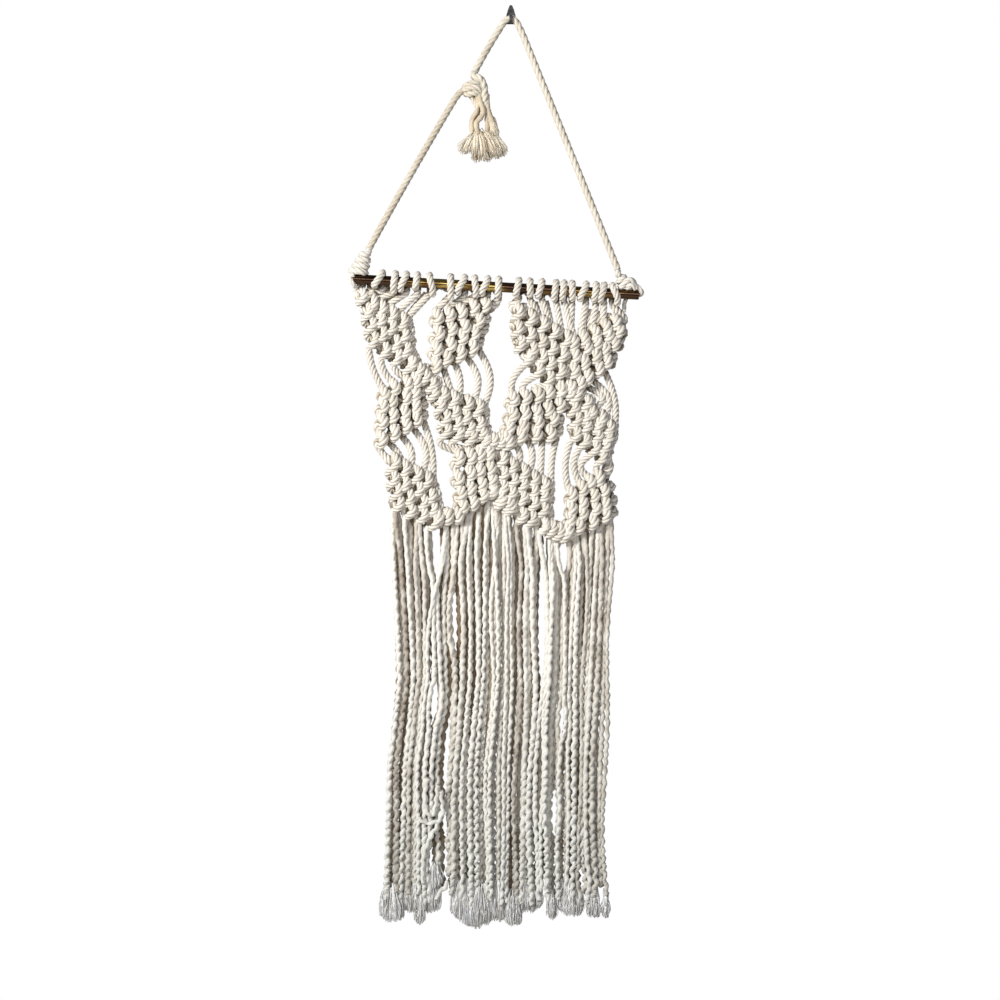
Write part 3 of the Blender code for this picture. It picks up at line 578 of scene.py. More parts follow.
SLACK = (
    # strip, y, then x and z of the ends of a bight that hangs by the legs of the wraps
    (0, -17.0, -137, -280, -149, -290), (0, -7.6, -107, -277, -125, -292), (0, -7.6, -85, -281, -105, -305),
    (0, -8.6, -148, -271, -151, -290), (0, -8.0, -141, -272, -143, -290), (0, -8.6, -123, -272, -125, -288),
    (2, -7.6, 13, -291, 12, -306), (2, -7.6, 24, -290, 29, -307), (2, -8.4, 35, -289, 40, -312),
    (3, -7.6, 78, -297, 78, -323), (3, -7.6, 88, -299, 87, -321),
    (3, -7.6, 98, -301, 97, -319), (3, -8.0, 98, -446, 92, -462),
)


def rod_z(x):
    """Height of the rod's axis at x."""
    return ROD_MIDDLE_Z + (x - ROD_MIDDLE_X) * math.tan(math.radians(ROD_TILT))


# %% One knot, one wrap, one loose stretch
chance = np.random.default_rng(11)
LOOSE = 1.2               # thickness of a rope that nothing presses


def hitch(middle, ahead, filling=False):
    """A rope's route round its leader, from above to below: down in front, under and up behind, over the
    top again, and a last pass down the front that crosses the first. Rows that go down to the right and
    to the left show it at different slants."""
    places = RIGHT_HITCH if ahead[0] > 0 else LEFT_HITCH
    across, forward, up, thick = (np.vstack([TUCKED_IN, places, TUCKED]) if filling else places).T
    up = ROW_PACKING * (np.minimum(up, FILLING_TOP) if filling else up)
    off = chance.normal(0, TURN_OFF, (len(up), 4)) * (1, 1, 1, 0.05)
    return np.column_stack([middle[0] + across, PANEL_Y - forward, middle[1] + up, thick]) + off


def back_pass(before, after):
    """The part of a knot that shows behind, between two knots of a row: short, upright and in shade."""
    x, z = (before + after) / 2
    return np.array([(x + 1.5, PANEL_Y + 2.5, z + 8.0, 1.1), (x, PANEL_Y + 4.5, z, 1.4),
                     (x - 1.5, PANEL_Y + 2.5, z - 8.0, 1.1)])


def wrap(number):
    """A rope end's route over the rod: from the bight behind, which it shares with the end beside it, under
    and up the front, and over to the leg."""
    top_x, bottom_x, bottom_z = WRAPS[number]
    partner_x = WRAPS[number + 1 - 2 * (number % 2)][0]
    z = rod_z(top_x)
    return np.array([((top_x + partner_x) / 2, -9.0, z - 1.0, 1.0), (bottom_x, -9.5, z - 5.5, 1.1),
                     (bottom_x, ROD_Y - 2.0, bottom_z + 3.2, 1.18),
                     (bottom_x, ROD_Y - 7.2, rod_z(bottom_x) - 5.0, 1.18),
                     ((top_x + bottom_x) / 2, ROD_Y - 8.8, z, 1.18), (top_x, ROD_Y - 6.4, z + 6.2, 1.18),
                     (top_x, ROD_Y, z + 8.5, 1.15), (top_x, ROD_Y + 6.6, z + 5.2, 1.1),
                     (top_x, ROD_Y + 8.8, z - 1.0, 1.1), (top_x, -13.0, z - 10.0, 1.2)])


def bowed(start, end, bow):
    """A loose stretch between two places: straight, plus half a sine wave to the side and a little
    forward."""
    share = np.linspace(0, 1, 9)[1:-1, None]
    swing = bow * np.sin(math.pi * share)
    middle = start + (end - start) * share + np.hstack([swing, -0.15 * np.abs(swing), 0 * swing, 0 * swing])
    middle[:, 3] = LOOSE
    return middle


def slack_bight(y, x, z, low_x, low_z):
    """A short hanging piece from one place to a lower one; its middle comes forward."""
    return np.array([(x, y, z, 1.1), ((x + low_x) / 2, y - 1.5, (z + low_z) / 2, 1.15),
                     (low_x, y, low_z, 1.1)])


def leader_run(first, middles, last, ahead):
    """The leader's straight run behind the knots of its row."""
    x, z = np.vstack([first - LEADER_BEFORE * ahead, middles, last + LEADER_AFTER * ahead]).T
    return np.column_stack([x, np.full(len(x), PANEL_Y + LEADER_BACK), z, np.full(len(x), LEADER_THICK)])


# %% Routes of the ropes in a strip
def strip_routes(strip):
    """The five routes of a strip, the short pieces between them, and the order of the ropes at the end. A
    row wider than its workers has filling hitches where its leader starts."""
    routes = [[wrap(strip * ENDS + k)] for k in range(ENDS)]
    fillers = [slack_bight(*places) for of, *places in SLACK if of == strip]
    order = list(range(ENDS))         # the ropes from left to right
    for number, row in enumerate(row for row in ROWS if row[0] == strip):
        first, last = np.array(row[1:3], float), np.array(row[3:5], float)
        count = max(int(round(np.linalg.norm(last - first) / KNOT_WIDTH)) + 1, ENDS - 1)
        ahead = unit(last - first)
        off = chance.normal(0, KNOT_OFF, (count, 2))
        middles = first + (last - first) * np.linspace(0, 1, count)[:, None] + off
        rightwards = ahead[0] > 0
        hanging = list(order)
        leader = order.pop(0 if rightwards else -1)
        workers = order if rightwards else order[::-1]
        entering = {leader: leader_run(first, middles, last, ahead)}
        for middle, worker in zip(middles[-len(workers):], workers):
            entering[worker] = hitch(middle, ahead)
        for middle in middles[:-len(workers)]:
            fillers.append(hitch(middle, ahead, filling=True))
        fillers += [back_pass(before, after) for before, after in zip(middles[:-1], middles[1:])]
        if number and number % ROWS_IN_GROUP == 0:
            for end, bow in zip(hanging, BOWS[(strip, number // ROWS_IN_GROUP)]):
                routes[end].append(bowed(routes[end][-1][-1], entering[end][0], bow))
        for worker, points in entering.items():
            routes[worker].append(points)
        order = order + [leader] if rightwards else [leader] + order
    return [np.vstack(route) for route in routes], fillers, order


# %% The strips
ROUTE_ROUNDING, PIECE_ROUNDING = 1.5, 1.2     # how gently a long rope bends, and a short piece
rope_ends = []
for strip in range(4):
    routes, fillers, order = strip_routes(strip)
    paths = [soften(route, ROUTE_ROUNDING) for route in routes]
    paths += [soften(route, PIECE_ROUNDING) for route in fillers]
    tones = chance.uniform(0.35, 0.65, len(paths))
    starts = chance.uniform(0, 1, len(paths))
    parts = [rope(path, PANEL_ROPE, start, tone) for path, start, tone in zip(paths, starts, tones)]
    strip_piece = piece(f"knotted_strip_{strip + 1}", parts, rope_cotton)
    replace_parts(strip_piece, "knotted_panel")
    rope_ends += [paths[worker][-1, :3] for worker in order]
rope_ends = np.array(rope_ends)
print("rope ends at z", rope_ends[:, 2].round())

# %% Knots that link the strips
LINKS = (
    # x and z of a link's left and right ends
    (-98, -352, -78, -372), (-72, -506, -52, -504), (-25, -428, -2, -430), (-18, -478, -2, -492),
    (34, -514, 56, -522),
)
LINK_KNOT = 9.0           # from one knot of a link to the next
LINK_LEADER = 1.3         # thickness of its leader
link_parts = []
for left_x, left_z, right_x, right_z in LINKS:
    start, end = np.array([left_x, left_z], float), np.array([right_x, right_z], float)
    ahead = unit(end - start)
    downhill = ahead if ahead[1] < 0 else -ahead
    leader = curve([(left_x, PANEL_Y, left_z), (right_x, PANEL_Y, right_z)])
    link_parts.append(rope(leader, LINK_LEADER * PANEL_ROPE))
    for place in np.linspace(0, 1, int(round(np.linalg.norm(end - start) / LINK_KNOT)) + 1):
        tied = hitch(start + (end - start) * place, downhill, filling=True)
        link_parts.append(rope(soften(tied, PIECE_ROUNDING), PANEL_ROPE, start=place, tone=0.45))
links = piece("strip_links", link_parts, rope_cotton)
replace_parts(links, "knotted_panel")

# %% [markdown]
# ## The fringe
# Below the last row each rope is unlaid into its four plies. A ply keeps the wave that it had in the rope,
# so it hangs as a soft corkscrew. Three plies of every eight hang in front, in two depths, and the others
# behind them in two layers, in shade, which their darker tones also paint in. Four front plies cross over to
# other places. The plies part at a few slits. A ply is swept like the rope, with a section that is a little
# flattened and turns along it.

# %% Where the plies hang
# The fringe's outline: its left and right sides by height, and where its tips end across it.
SIDES_Z = (-480, -603, -668, -754, -808, -916)
SIDES_LEFT = (-120, -117, -115, -123, -123, -127)
SIDES_RIGHT = (104, 98, 96, 93, 92, 95)
TIPS_X = (-131, -119, -107, -99, -91, -83, -73, -65, -59, -51, -35, -21, -6, 1, 9, 19, 30, 34, 38, 45, 59,
          72, 75, 83, 90, 94, 98)
TIPS_Z = (-905, -909, -906, -899, -907, -899, -897, -882, -898, -909, -917, -910, -909, -912, -909, -899,
          -898, -882, -903, -903, -900, -905, -896, -905, -896, -905, -903)
SLITS = (
    # x, z, half_width, half_height
    (-75, -537, 3.0, 24), (-57, -609, 1.4, 26), (-76, -690, 1.8, 14), (-63.5, -745, 1.2, 34),
    (-66.5, -812, 0.9, 9), (-78, -851, 0.6, 12), (-67.5, -849, 0.6, 11), (30.5, -601, 2.6, 66),
    (52.5, -544, 2.4, 13), (50.5, -709, 0.8, 12), (42.5, -800, 0.8, 17), (71, -867, 0.5, 6),
    (87.5, -888, 0.5, 8),
)
FRONT_PLIES, BACK_PLIES = 30, 50          # side by side in front and behind
FRONT_LAYERS = (-3.2, -4.4)               # y of each second front ply, from the panel's
BACK_LAYERS = ((4.0, 20.0), (0.6, 24.0))  # y of each second back ply, and its fall
FRONT_FALL = 60.0         # height in which a front ply reaches its place
CROSSING = {
    # number of the front ply: by how many places it moves, its y and its fall
    7: (-3.2, -6.5, 150.0), 13: (1.0, -6.0, 120.0), 14: (-1.0, -3.4, 120.0), 22: (-1.1, -6.0, 110.0),
}
# Of a ply: distance between its rings, corners round it, thickness, slow drift, and reach off its place.
FRONT_PLY, BACK_PLY = (1.5, 8, 0.95, 1.6, 1.1), (2.1, 6, 1.2, 0.5, 0.3)
PLY_RADIUS = 2.5
PLY_TWIST = 11.0          # length in which its flattened section turns once
PLY_FLAT = 0.045          # how much longer and shorter that section's two axes are
PLY_ROUGH = 0.05          # its unevenness, as a share of its radius
WAVE_TOP, WAVE_LOW = 11.0, 9.0            # length of its waves in the rope and 380 mm below
WAVE_OVER = 380.0
WAVE_WIDE, WAVE_WIDER = 0.28, 0.9         # how far they reach, and how much farther low down
MIDDLE_TONES, BACK_SHADE_TONES = (0.1, 0.7), (-0.5, 0.2)        # tones of the plies behind, from light to shade: lower than in front, a painted shade, most in the back layer


def spread_x(share, z):
    """Where a ply hangs at height z: its share of the width between the fringe's two sides."""
    depth = -np.array(SIDES_Z, float)
    left, right = np.interp(-z, depth, SIDES_LEFT), np.interp(-z, depth, SIDES_RIGHT)
    return left + (right - left) * share


def wave(luck, z, shortest, longest):
    """A sine along z. Luck draws its length, divided by a whole turn, and its phase."""
    return np.sin(z / luck.uniform(shortest, longest) + luck.uniform(0, 6))


def parted(x, z):
    """Pushes a ply out of each slit, to the side that it is on at the slit's middle: by the slit's half
    width there, fading up, down and with the distance from the slit."""
    moved = x.copy()
    for slit_x, slit_z, half_width, half_height in SLITS:
        middle = np.interp(-slit_z, -z, x) - slit_x
        near = np.exp(-((z - slit_z) / (half_height + 5)) ** 4) * math.exp(-abs(middle) / 9)
        moved += math.copysign(half_width + PLY_RADIUS, middle) * near
    return moved


def ply(root, share, layer, seed, fall):
    """One ply: it leaves the rope end, reaches its own place within its fall, and waves as a helix whose
    turns get tighter and wider towards the cut end. Those in front are mostly light; those behind get darker
    tones, a painted shade."""
    luck = np.random.default_rng(seed)
    front = layer < 0
    step, sides, full, drifting, aside = FRONT_PLY if front else BACK_PLY
    tip_z = np.interp(spread_x(share, np.array(-900.0)), TIPS_X, TIPS_Z) + luck.uniform(5, 22)
    z = np.arange(root[2], tip_z, -step)
    gone = (root[2] - z) / fall
    ease = np.clip(gone, 0, 1) ** 2 * (3 - 2 * np.clip(gone, 0, 1))
    drift = drifting * wave(luck, z, 25, 70)
    wander = (drift + luck.normal(0, aside)) * ease
    x = parted(root[0] + (spread_x(share, z) + wander - root[0]) * ease, z)
    y = root[1] + (PANEL_Y + layer + luck.normal(0, 0.6) - root[1]) * np.clip(gone * 2, 0, 1)
    down = np.clip((root[2] - z) / WAVE_OVER, 0, 1)
    uneven = 1 + 0.25 * wave(luck, z, 6, 12)
    turns = np.cumsum(step / (WAVE_TOP + (WAVE_LOW - WAVE_TOP) * down) * uneven)
    phase = luck.uniform(0, 6) + math.tau * turns
    wide = (WAVE_WIDE + WAVE_WIDER * down ** 0.9) * luck.uniform(0.6, 1.4)
    path = np.column_stack([x + wide * np.sin(phase), y + wide * np.cos(phase), z])
    swelling = 0.06 * np.sin(z / luck.uniform(3.5, 6)) + 0.06 * wave(luck, z, 12, 20)
    knobs = 1 + (0.04 + 0.1 * down) * np.sin(phase + 1) + swelling
    thick = full * knobs * np.clip(0.6 + gone * 6, 0, 1)
    outline = PLY_RADIUS * luck.uniform(0.82, 1.08) * (1 + PLY_FLAT * np.cos(2 * angles(sides)))
    if front:
        tone = 1.15 * luck.uniform() ** 0.6 - 0.15
    else:
        # Painted shade: the plies behind get lower, darker tones.
        tone = luck.uniform(*(MIDDLE_TONES if layer < 2 else BACK_SHADE_TONES))
    return (*swept(path, outline, math.tau * run_of(path) / PLY_TWIST, thick, PLY_ROUGH), tone)


# %% The plies
fringe_parts = []
front_number = behind_number = 0
for number, root in enumerate(rope_ends):
    fronts = 2 - number % 2
    for k in range(4):
        in_front = k < fronts
        if in_front:
            usual = (0.0, FRONT_LAYERS[front_number % 2], FRONT_FALL)
            moved, layer, fall = CROSSING.get(front_number, usual)
            share = (front_number + 0.2 + moved) / (FRONT_PLIES - 0.6)
            start = root + np.array([(-1.2, 1.4)[k], -0.8, 3.0])
            front_number += 1
        else:
            layer, fall = BACK_LAYERS[behind_number % 2]
            share = (behind_number + 1.0) / (BACK_PLIES + 1.0)
            start = root + np.array([(2.6, -2.6, 0.0)[k - 1], 2.0, 11.0])
            behind_number += 1
        fringe_parts.append(ply(start, share, layer, 100 + 4 * number + k, fall))
print(front_number, "plies in front,", behind_number, "behind")

# %% [markdown]
# ## Strays
# A few plies have caught on each other and hang in a small tangle on the left, in front of the others.

# %% Strays
STRAYS = (
    # x and z of the places that a stray passes
    ((-70, -778), (-68.5, -791), (-68, -800), (-72, -807.5), (-80, -810), (-88, -808.5), (-91.5, -804)),
    ((-83, -765), (-85.5, -779), (-85, -794), (-81, -803), (-77, -799), (-74.5, -787), (-73, -772)),
    ((-69, -798), (-73, -811), (-80, -824), (-86, -839), (-88, -855), (-88, -870)),
    ((-63, -868), (-66, -875), (-72, -880), (-74, -887)),
)
STRAYS_Y = (-8.0, -6.8, -6.8, -6.8)       # from the panel's
STRAY_RADIUS = 2.0
STRAY_WAVE, STRAY_WIDE = 9.6, 0.75        # length and reach of its waves
for number, (points, forward) in enumerate(zip(STRAYS, STRAYS_Y)):
    path = curve([(x, PANEL_Y + forward, z) for x, z in points], 1.4)
    phase = run_of(path) * math.tau / STRAY_WAVE + number
    normal, beside = carried(path)
    path = path + STRAY_WIDE * (np.sin(phase)[:, None] * normal + np.cos(phase)[:, None] * beside)
    knobs = 1 + 0.1 * np.sin(2 * phase)
    fringe_parts.append((*swept(path, np.full(8, STRAY_RADIUS), run_of(path) / 9, knobs, PLY_ROUGH), 0.4))

# %% Three pieces of fringe
third = len(fringe_parts) // 3
for name, parts in (("fringe_left", fringe_parts[:third]), ("fringe_middle", fringe_parts[third:2 * third]),
                    ("fringe_right", fringe_parts[2 * third:])):
    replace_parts(piece(name, parts, fringe_cotton), "fringe")

# %% [markdown]
# ## Frayed ends
# The cut ends open into soft brushes, several plies to a brush. A brush is a rounded core with fibres
# laid over it. A fibre is a thin three-sided tube that thins towards its end; all of them are worked out
# in one array, fibre by step by corner.


# %% Fibres
def fibres(starts, ends, bulge, radius, steps=6, splay=0.7, tones=(-0.2, 1.1)):
    """Fibres from starts to ends. A fibre's middle moves from start to end, the sideways part at first
    faster than the downward part, plus a bulge, half a sine wave, and the next fibre's bulge as a whole
    sine wave; at its end it is half as thick. Each fibre has its own tone. A splay of 1 is a straight
    fibre, and the lower it is, the sooner the fibre goes sideways."""
    share = np.linspace(0, 1, steps)[None, :, None]
    way = (ends - starts)[:, None] * np.concatenate([share**splay, share**splay, share], axis=2)
    bow = bulge[:, None] * np.sin(math.pi * share)
    wiggle = np.roll(bulge, 1, axis=0)[:, None] * np.sin(math.tau * share) / 2
    middle = starts[:, None] + way + bow + wiggle
    ring = np.column_stack([np.cos(angles(3)), np.sin(angles(3)), np.zeros(3)]) * radius
    thin = 1 - 0.5 * share[..., None] ** 2
    corners = (middle[:, :, None] + ring[None, None] * thin).reshape(-1, 3)
    first = (np.arange(len(starts))[:, None] * steps + np.arange(steps - 1)[None, :]).ravel()[:, None] * 3
    side, after = np.arange(3)[None, :], np.array([[1, 2, 0]])
    quads = np.stack([first + side, first + after, first + 3 + after, first + 3 + side], -1).reshape(-1, 4)
    top = np.arange(len(starts))[:, None] * steps * 3
    low = top + (steps - 1) * 3
    caps = np.vstack([top + np.array([[2, 1, 0]]), low + np.array([[0, 1, 2]])])
    tones = np.repeat(chance.uniform(*tones, len(starts)), steps * 3)
    return corners, quads[:, ::-1], caps[:, ::-1], corners / 3, tones


# %% Brushes
BRUSHES = (
    # left, right, top, bottom at the left, bottom at the right, y
    (-131, -107, -880, -908, -909, -13.0), (-108, -90, -868, -902, -897, -10.0),
    (-95, -86, -890, -911, -910, -14.0), (-87, -71, -868, -901, -899, -10.0),
    (-81, -70, -859, -876, -875, -14.0), (-60, -38, -876, -903, -917, -10.5),
    (-44, -18, -878, -918, -911, -11.0), (-23, -5, -876, -909, -909, -10.0),
    (-6, 10, -886, -912, -914, -12.0), (2, 32, -876, -901, -899, -9.0),
    (36, 45, -884, -905, -907, -11.0), (44, 72, -876, -900, -906, -10.5),
    (77, 89, -884, -905, -906, -11.0), (91, 97, -886, -906, -905, -11.0),
)
CORE_PLACES, CORE_SHARES = (0.0, 0.3, 0.7, 0.85, 0.95, 1.0), (0.55, 0.75, 0.95, 0.93, 0.72, 0.3)
CORE_FULL = 0.93          # the core's size under the fibres
CORE_RINGS, CORE_SIDES = 14, 20
FIBRES_A_MM = 11          # of a brush's width
FIBRE_RADIUS = 0.62
BRUSH_DEEP = 4.5          # half the depth of a wide brush
GATHERED = 0.62           # width at which the fibres start, as a share of the brush's
TUFT_HIGH, TUFT_WIDE = 0.9, 1.7           # a tuft's height at the end, and its width by a whole turn
UNCUT_LOW, UNCUT_HIGH = -1.0, 2.6         # how unevenly the fibres end


def ellipse(deep, wide, sides):
    """Reach of an ellipse by angle, from its two half axes."""
    return 1 / np.sqrt((np.cos(angles(sides)) / deep) ** 2 + (np.sin(angles(sides)) / wide) ** 2)


def brush(left, right, top, bottom_left, bottom_right, y):
    """A core that widens to a rounded end, an ellipse across, and fibres over it that end about where the
    core does: at u across its half width, u from -1 to 1, a fibre ends higher by 1 - the root of
    1 - u squared, plus its place in a row of small tufts and a part left to chance."""
    middle, half = (left + right) / 2, (right - left) / 2
    bottom = (bottom_left + bottom_right) / 2
    deep = min(BRUSH_DEEP, half)
    along = np.linspace(0, 1, CORE_RINGS)
    path = np.linspace((middle, y, top + 4), (middle, y, bottom + 2.5), CORE_RINGS)
    size = CORE_FULL * np.interp(along, CORE_PLACES, CORE_SHARES)
    core = (*swept(path, ellipse(deep, half - 0.8, CORE_SIDES), 0.0, size), 0.0)
    count = int(FIBRES_A_MM * 2 * half)
    around = chance.uniform(0, math.tau, count)
    out = chance.uniform(0.7, 1.0, count)
    u, v = np.cos(around) * out, np.sin(around) * out
    starts = np.column_stack([middle + GATHERED * half * u, y + deep * 0.6 * v, np.full(count, top + 5.0)])
    starts[:, 2] += chance.uniform(-14, 5, count)
    tufts = TUFT_HIGH * np.sin(half * u / TUFT_WIDE + left) + chance.uniform(UNCUT_LOW, UNCUT_HIGH, count)
    rounded = (1 - np.sqrt(1 - 0.96 * u**2)) * min(half, 9.0) + tufts
    lowest = bottom_left + (bottom_right - bottom_left) * (u + 1) / 2
    aside = middle + half * u + chance.normal(0, 0.9, count)
    ends = np.column_stack([aside, y + deep * v, lowest + rounded])
    bulge = np.column_stack([0.12 * half * u, 0.35 * deep * v, 0 * u]) + chance.normal(0, 1.0, (count, 3))
    return core, fibres(starts, ends, bulge, FIBRE_RADIUS, 7)


brush_parts = [part for row in BRUSHES for part in brush(*row)]
brushes = piece("frayed_tips", brush_parts, fibre_cotton)
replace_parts(brushes, "fringe")

# %% [markdown]
# ## The tassel at the join
# Below the knot the rope's two tails are unlaid into five plies that cross each other. They end in one soft
# brush of six round lobes, each a core with fibres that spread from its root.

# %% Tassel
TASSEL_PLIES = (
    # route, thickness at its start and end
    (((-33.5, -12.5, -83.0), (-33.0, -13.5, -92.0), (-34.2, -13.2, -100.0), (-37.8, -12.5, -105.5),
      (-39.3, -12.0, -112.0), (-39.0, -12.0, -119.0), (-40.0, -12.0, -124.0)), 1.0, 1.1),
    (((-31.6, -14.0, -82.0), (-30.8, -15.5, -90.0), (-28.5, -16.5, -96.2), (-27.7, -16.8, -102.0),
      (-30.8, -16.5, -107.1), (-34.2, -16.0, -111.0), (-34.2, -15.2, -116.0), (-32.0, -14.0, -123.0)),
     1.1, 1.15),
    (((-26.9, -14.0, -81.0), (-28.5, -13.2, -87.5), (-26.1, -13.0, -94.5), (-23.6, -13.5, -102.0),
      (-24.2, -13.2, -108.0), (-23.6, -12.8, -113.0), (-24.0, -12.5, -123.0)), 1.0, 0.95),
    (((-23.8, -13.0, -82.7), (-23.8, -13.5, -91.4), (-23.0, -13.5, -99.2), (-20.9, -13.0, -105.5),
      (-18.4, -12.5, -112.4), (-17.2, -12.0, -118.0), (-16.0, -12.0, -124.0)), 1.0, 1.7),
    (((-32.0, -9.5, -86.0), (-32.5, -9.0, -96.0), (-34.5, -9.0, -106.0), (-35.5, -9.0, -120.0)), 1.0, 1.2),
)
TASSEL_LOBES = (
    # x and z of the lobe's middle, its reach sideways, down and in depth, x and z of its root
    (-46.5, -134.5, 8.0, 8.5, 5.0, -39.0, -125.0), (-34.0, -138.5, 7.5, 13.0, 5.5, -34.0, -121.0),
    (-25.0, -139.5, 8.5, 11.5, 6.0, -31.0, -122.0), (-15.5, -137.5, 8.5, 10.5, 6.0, -27.0, -122.0),
    (-9.5, -137.0, 7.0, 8.5, 5.0, -18.0, -126.0), (-16.5, -120.0, 5.2, 9.0, 4.5, -20.5, -107.0),
)
TASSEL_Y = -11.5
TASSEL_PLY, TASSEL_FIBRE = 2.4, 0.75      # radii
LOBE_FIBRES_A_MM = 12     # of a lobe's half width
LOBE_CORE = 0.7           # size of a lobe's core
LOBE_RINGS, LOBE_SIDES = 16, 16
tassel_parts = []
for points, first, last in TASSEL_PLIES:
    path = curve(points, 1.2)
    share = np.linspace(0, 1, len(path))
    thick = (first + (last - first) * share) * np.sqrt(np.clip((1.02 - share) * 6, 0, 1))
    thick *= 1 + 0.06 * np.sin(run_of(path) / 1.3)
    tassel_parts.append((*swept(path, np.full(12, TASSEL_PLY), run_of(path) / 8, thick, PLY_ROUGH), 0.1))
for lobe_x, lobe_z, wide, low, deep, root_x, root_z in TASSEL_LOBES:
    core_path = np.linspace((root_x, TASSEL_Y, root_z + 2), (lobe_x, TASSEL_Y, lobe_z - LOBE_CORE * low),
                            LOBE_RINGS)
    core_share = np.linspace(0, 1, LOBE_RINGS)
    core_scale = np.interp(core_share, (0, 0.5, 0.8, 0.93, 1), (0.3, 0.7, 0.8, 0.55, 0.25))
    core_outline = ellipse(LOBE_CORE * deep, LOBE_CORE * wide, LOBE_SIDES)
    tassel_parts.append((*swept(core_path, core_outline, 0.0, core_scale), -0.1))
    # Directions on a ball, turned down and mostly to the front, give the fibres' ends on the lobe.
    count = int(LOBE_FIBRES_A_MM * wide)
    ball = unit(chance.normal(0, 1, (count, 3)))
    ball[:, 2] = 0.3 - 1.3 * np.abs(ball[:, 2]) ** 0.6
    ball[:, 1] = -np.abs(ball[:, 1]) * np.where(chance.uniform(0, 1, count) < 0.7, 1, -1)
    ball *= chance.uniform(0.85, 1, (count, 1))
    ends = np.array([lobe_x, TASSEL_Y, lobe_z]) + ball * (wide, deep, low)
    starts = np.array([root_x, TASSEL_Y - 0.5, root_z]) + ball * (2.2, 2.8, 0)
    starts += chance.normal(0, 1, (count, 3)) * (0.6, 0.3, 2.0)
    bulge = chance.normal(0, 0.2, (count, 3))
    tassel_parts.append(fibres(starts, ends, bulge, TASSEL_FIBRE, 8, 0.55, (0.05, 0.8)))
tassel = piece("join_brush", tassel_parts, tassel_cotton)
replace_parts(tassel, "join_tassel")

# %% [markdown]

# %% [markdown]
# ## Rod and hook
# The rod and the hook keep their solids. Brass tube browns as it ages and stays bright where it is
# handled: a patina that noise spreads in patches. The hook is steel blackened by heat, with a slight sheen.


# %% Aged brass and blackened steel
PATCH = 14.0              # size of a patch of the patina
RUBBED_TO, BROWN_FROM = 94.0, 119.0       # from the rod's middle: rubbed to here, all brown from here
BRASS_STOPS = [(0.3, "#4b392d"), (0.44, "#5c4534"), (0.52, "#7f6439"), (0.6, "#c0a760")]


def aged_brass():
    """Brown oxide over yellow metal. Noise stretched along the rod mixes the two where ropes rub it, and
    the bare ends stay brown; the brown is rougher. The shading is that of a round tube, square to the
    rod's axis."""
    made, tree, shader = shader_of("aged_brass")
    place = node(tree, "TexCoord").outputs["Object"]
    along = node(tree, "Mapping", {"Vector": place, "Scale": (0.45, 1.0, 1.0)}).outputs["Vector"]
    patch = node(tree, "TexNoise", {"Vector": along, "Scale": 1000 / PATCH, "Detail": 4.0})
    across = node(tree, "SeparateXYZ", {"Vector": place}).outputs["X"]
    from_middle = node(tree, "Math", {0: across, 1: ROD_MIDDLE_X * MM}, operation="SUBTRACT").outputs[0]
    aside = node(tree, "Math", {0: from_middle}, operation="ABSOLUTE").outputs[0]
    rubbed = node(tree, "MapRange", {"Value": aside, "From Min": BROWN_FROM * MM, "From Max": RUBBED_TO * MM,
                                     "To Min": -0.16, "To Max": 0.0}).outputs["Result"]
    worn = node(tree, "Math", {0: patch.outputs["Fac"], 1: rubbed}, operation="ADD").outputs[0]
    tree.links.new(ramp(tree, worn, BRASS_STOPS), shader.inputs["Base Color"])
    middle = (ROD_MIDDLE_X * MM, ROD_Y * MM, ROD_MIDDLE_Z * MM)
    axis = (math.cos(math.radians(ROD_TILT)), 0.0, math.sin(math.radians(ROD_TILT)))
    reach = node(tree, "VectorMath", {0: place, 1: middle}, operation="SUBTRACT").outputs["Vector"]
    share = node(tree, "VectorMath", {0: reach, 1: axis}, operation="PROJECT").outputs["Vector"]
    outward = node(tree, "VectorMath", {0: reach, 1: share}, operation="SUBTRACT").outputs["Vector"]
    facing = node(tree, "VectorMath", {0: outward}, operation="NORMALIZE").outputs["Vector"]
    tree.links.new(facing, shader.inputs["Normal"])
    rough = node(tree, "MapRange", {"Value": worn, "From Min": 0.4, "From Max": 0.65, "To Min": 0.2,
                                    "To Max": 0.13})
    tree.links.new(rough.outputs["Result"], shader.inputs["Roughness"])
    shader.inputs["Metallic"].default_value = 1.0
    return made


def blackened_steel():
    """Dark oxide scale, a little uneven."""
    made, tree, shader = shader_of("blackened_steel")
    place = node(tree, "TexCoord").outputs["Object"]
    scale = node(tree, "TexNoise", {"Vector": place, "Scale": 1000 / 3.0, "Detail": 3.0})
    colour = ramp(tree, scale.outputs["Fac"], [(0.35, "#3a3a3b"), (0.65, "#5c5c5d")])
    tree.links.new(colour, shader.inputs["Base Color"])
    shader.inputs["Metallic"].default_value = 0.7
    shader.inputs["Roughness"].default_value = 0.5
    return made


for name, material in (("rod", aged_brass()), ("wall_hook", blackened_steel())):
    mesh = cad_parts[name].data
    mesh.materials.clear()
    mesh.materials.append(material)

# %% [markdown]
# ## Floor and light
# A plain pale floor lies under the hanging. A large soft lamp high on the left and a weaker one on the
# right light it, a long low one in front draws the rod's highlight, and a white surround is the even
# background.

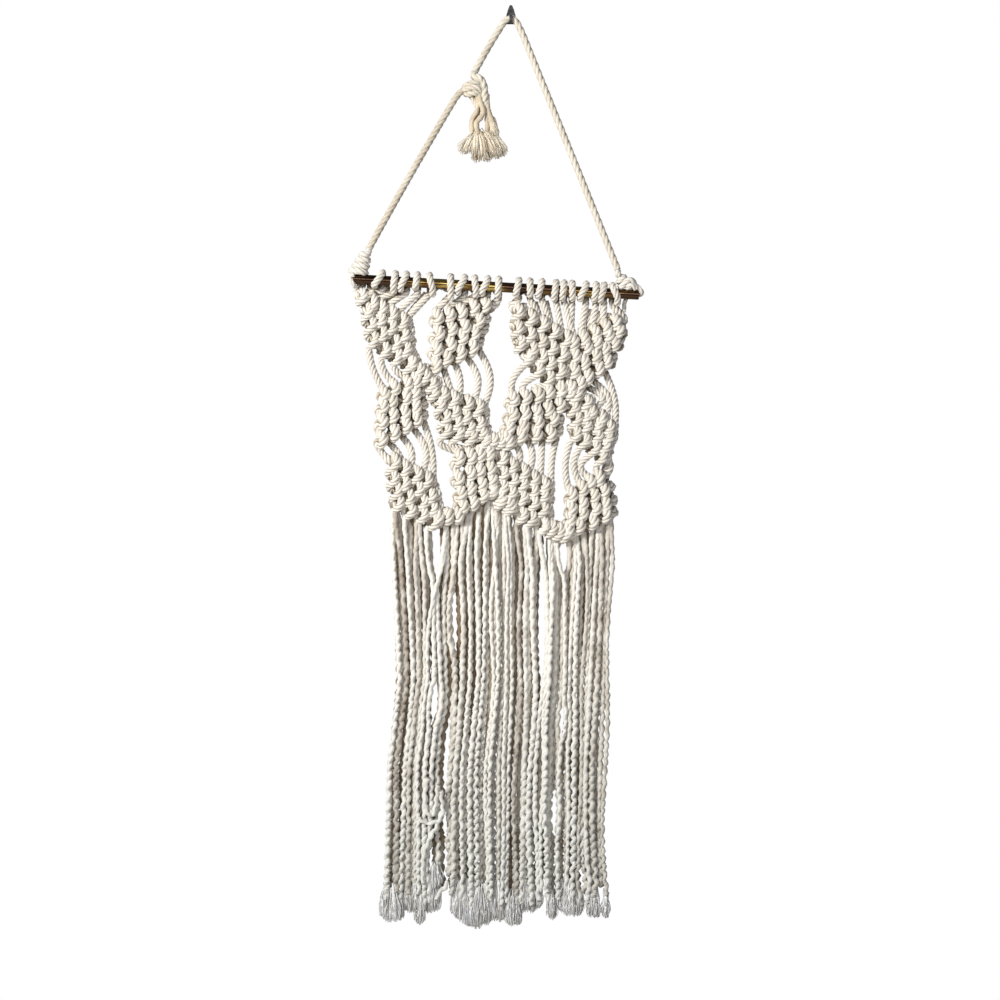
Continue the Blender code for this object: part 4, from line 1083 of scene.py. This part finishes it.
# %% Stage
FLOOR_Z = -1.25           # metres, as all places of the stage
floor_mesh = bpy.data.meshes.new("floor")
floor_corners = [(-2, -1.7, FLOOR_Z), (2, -1.7, FLOOR_Z), (2, 0.7, FLOOR_Z), (-2, 0.7, FLOOR_Z)]
floor_mesh.from_pydata(floor_corners, [], [(0, 1, 2, 3)])
floor = placed("floor", floor_mesh)
floor_paint, floor_tree, floor_shader = shader_of("pale_floor")
floor_shader.inputs["Base Color"].default_value = linear("#f2f1ef")
floor_shader.inputs["Roughness"].default_value = 0.8
floor_mesh.materials.append(floor_paint)
floor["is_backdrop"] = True


def lamp(name, place, aim, wide, high, watts, colour):
    """A soft lamp at a place in metres, turned to its aim."""
    data = bpy.data.lights.new(name, "AREA")
    data.shape = "RECTANGLE"
    data.size, data.size_y = wide, high
    data.energy = watts
    data.color = linear(colour)[:3]
    made = placed(name, data)
    away = np.array(aim) - np.array(place)
    made.location = place
    made.rotation_euler = (math.atan2(math.hypot(away[0], away[1]), -away[2]), 0,
                           math.atan2(away[1], away[0]) - math.pi / 2)


lamp("key_lamp", (-1.5, -1.5, 0.25), (0, 0, -0.5), 0.5, 0.5, 50.0, "#fffcf7")
lamp("fill_lamp", (1.2, -1.9, 0.0), (0, 0, -0.5), 1.2, 1.2, 3.5, "#f4f7ff")
lamp("strip_lamp", (0.0, -1.8, -0.07), (-0.016, 0, -0.276), 1.0, 0.5, 5.0, "#fbfaff")

world = bpy.data.worlds.new("white_surround")
bpy.context.scene.world = world
world.use_nodes = True
sky = world.node_tree
ground = sky.nodes["Background"]
seen = node(sky, "LightPath").outputs["Is Camera Ray"]
strength = node(sky, "MapRange", {"Value": seen, "To Min": 0.13, "To Max": 1.0})
ground.inputs["Color"].default_value = (1, 1, 1, 1)
sky.links.new(strength.outputs["Result"], ground.inputs["Strength"])
bpy.context.scene.view_settings.view_transform = "Standard"

# %% Size and finish
low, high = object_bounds()
print("visual box, mm:", [round(1000 * v) for v in (*low, *high)])
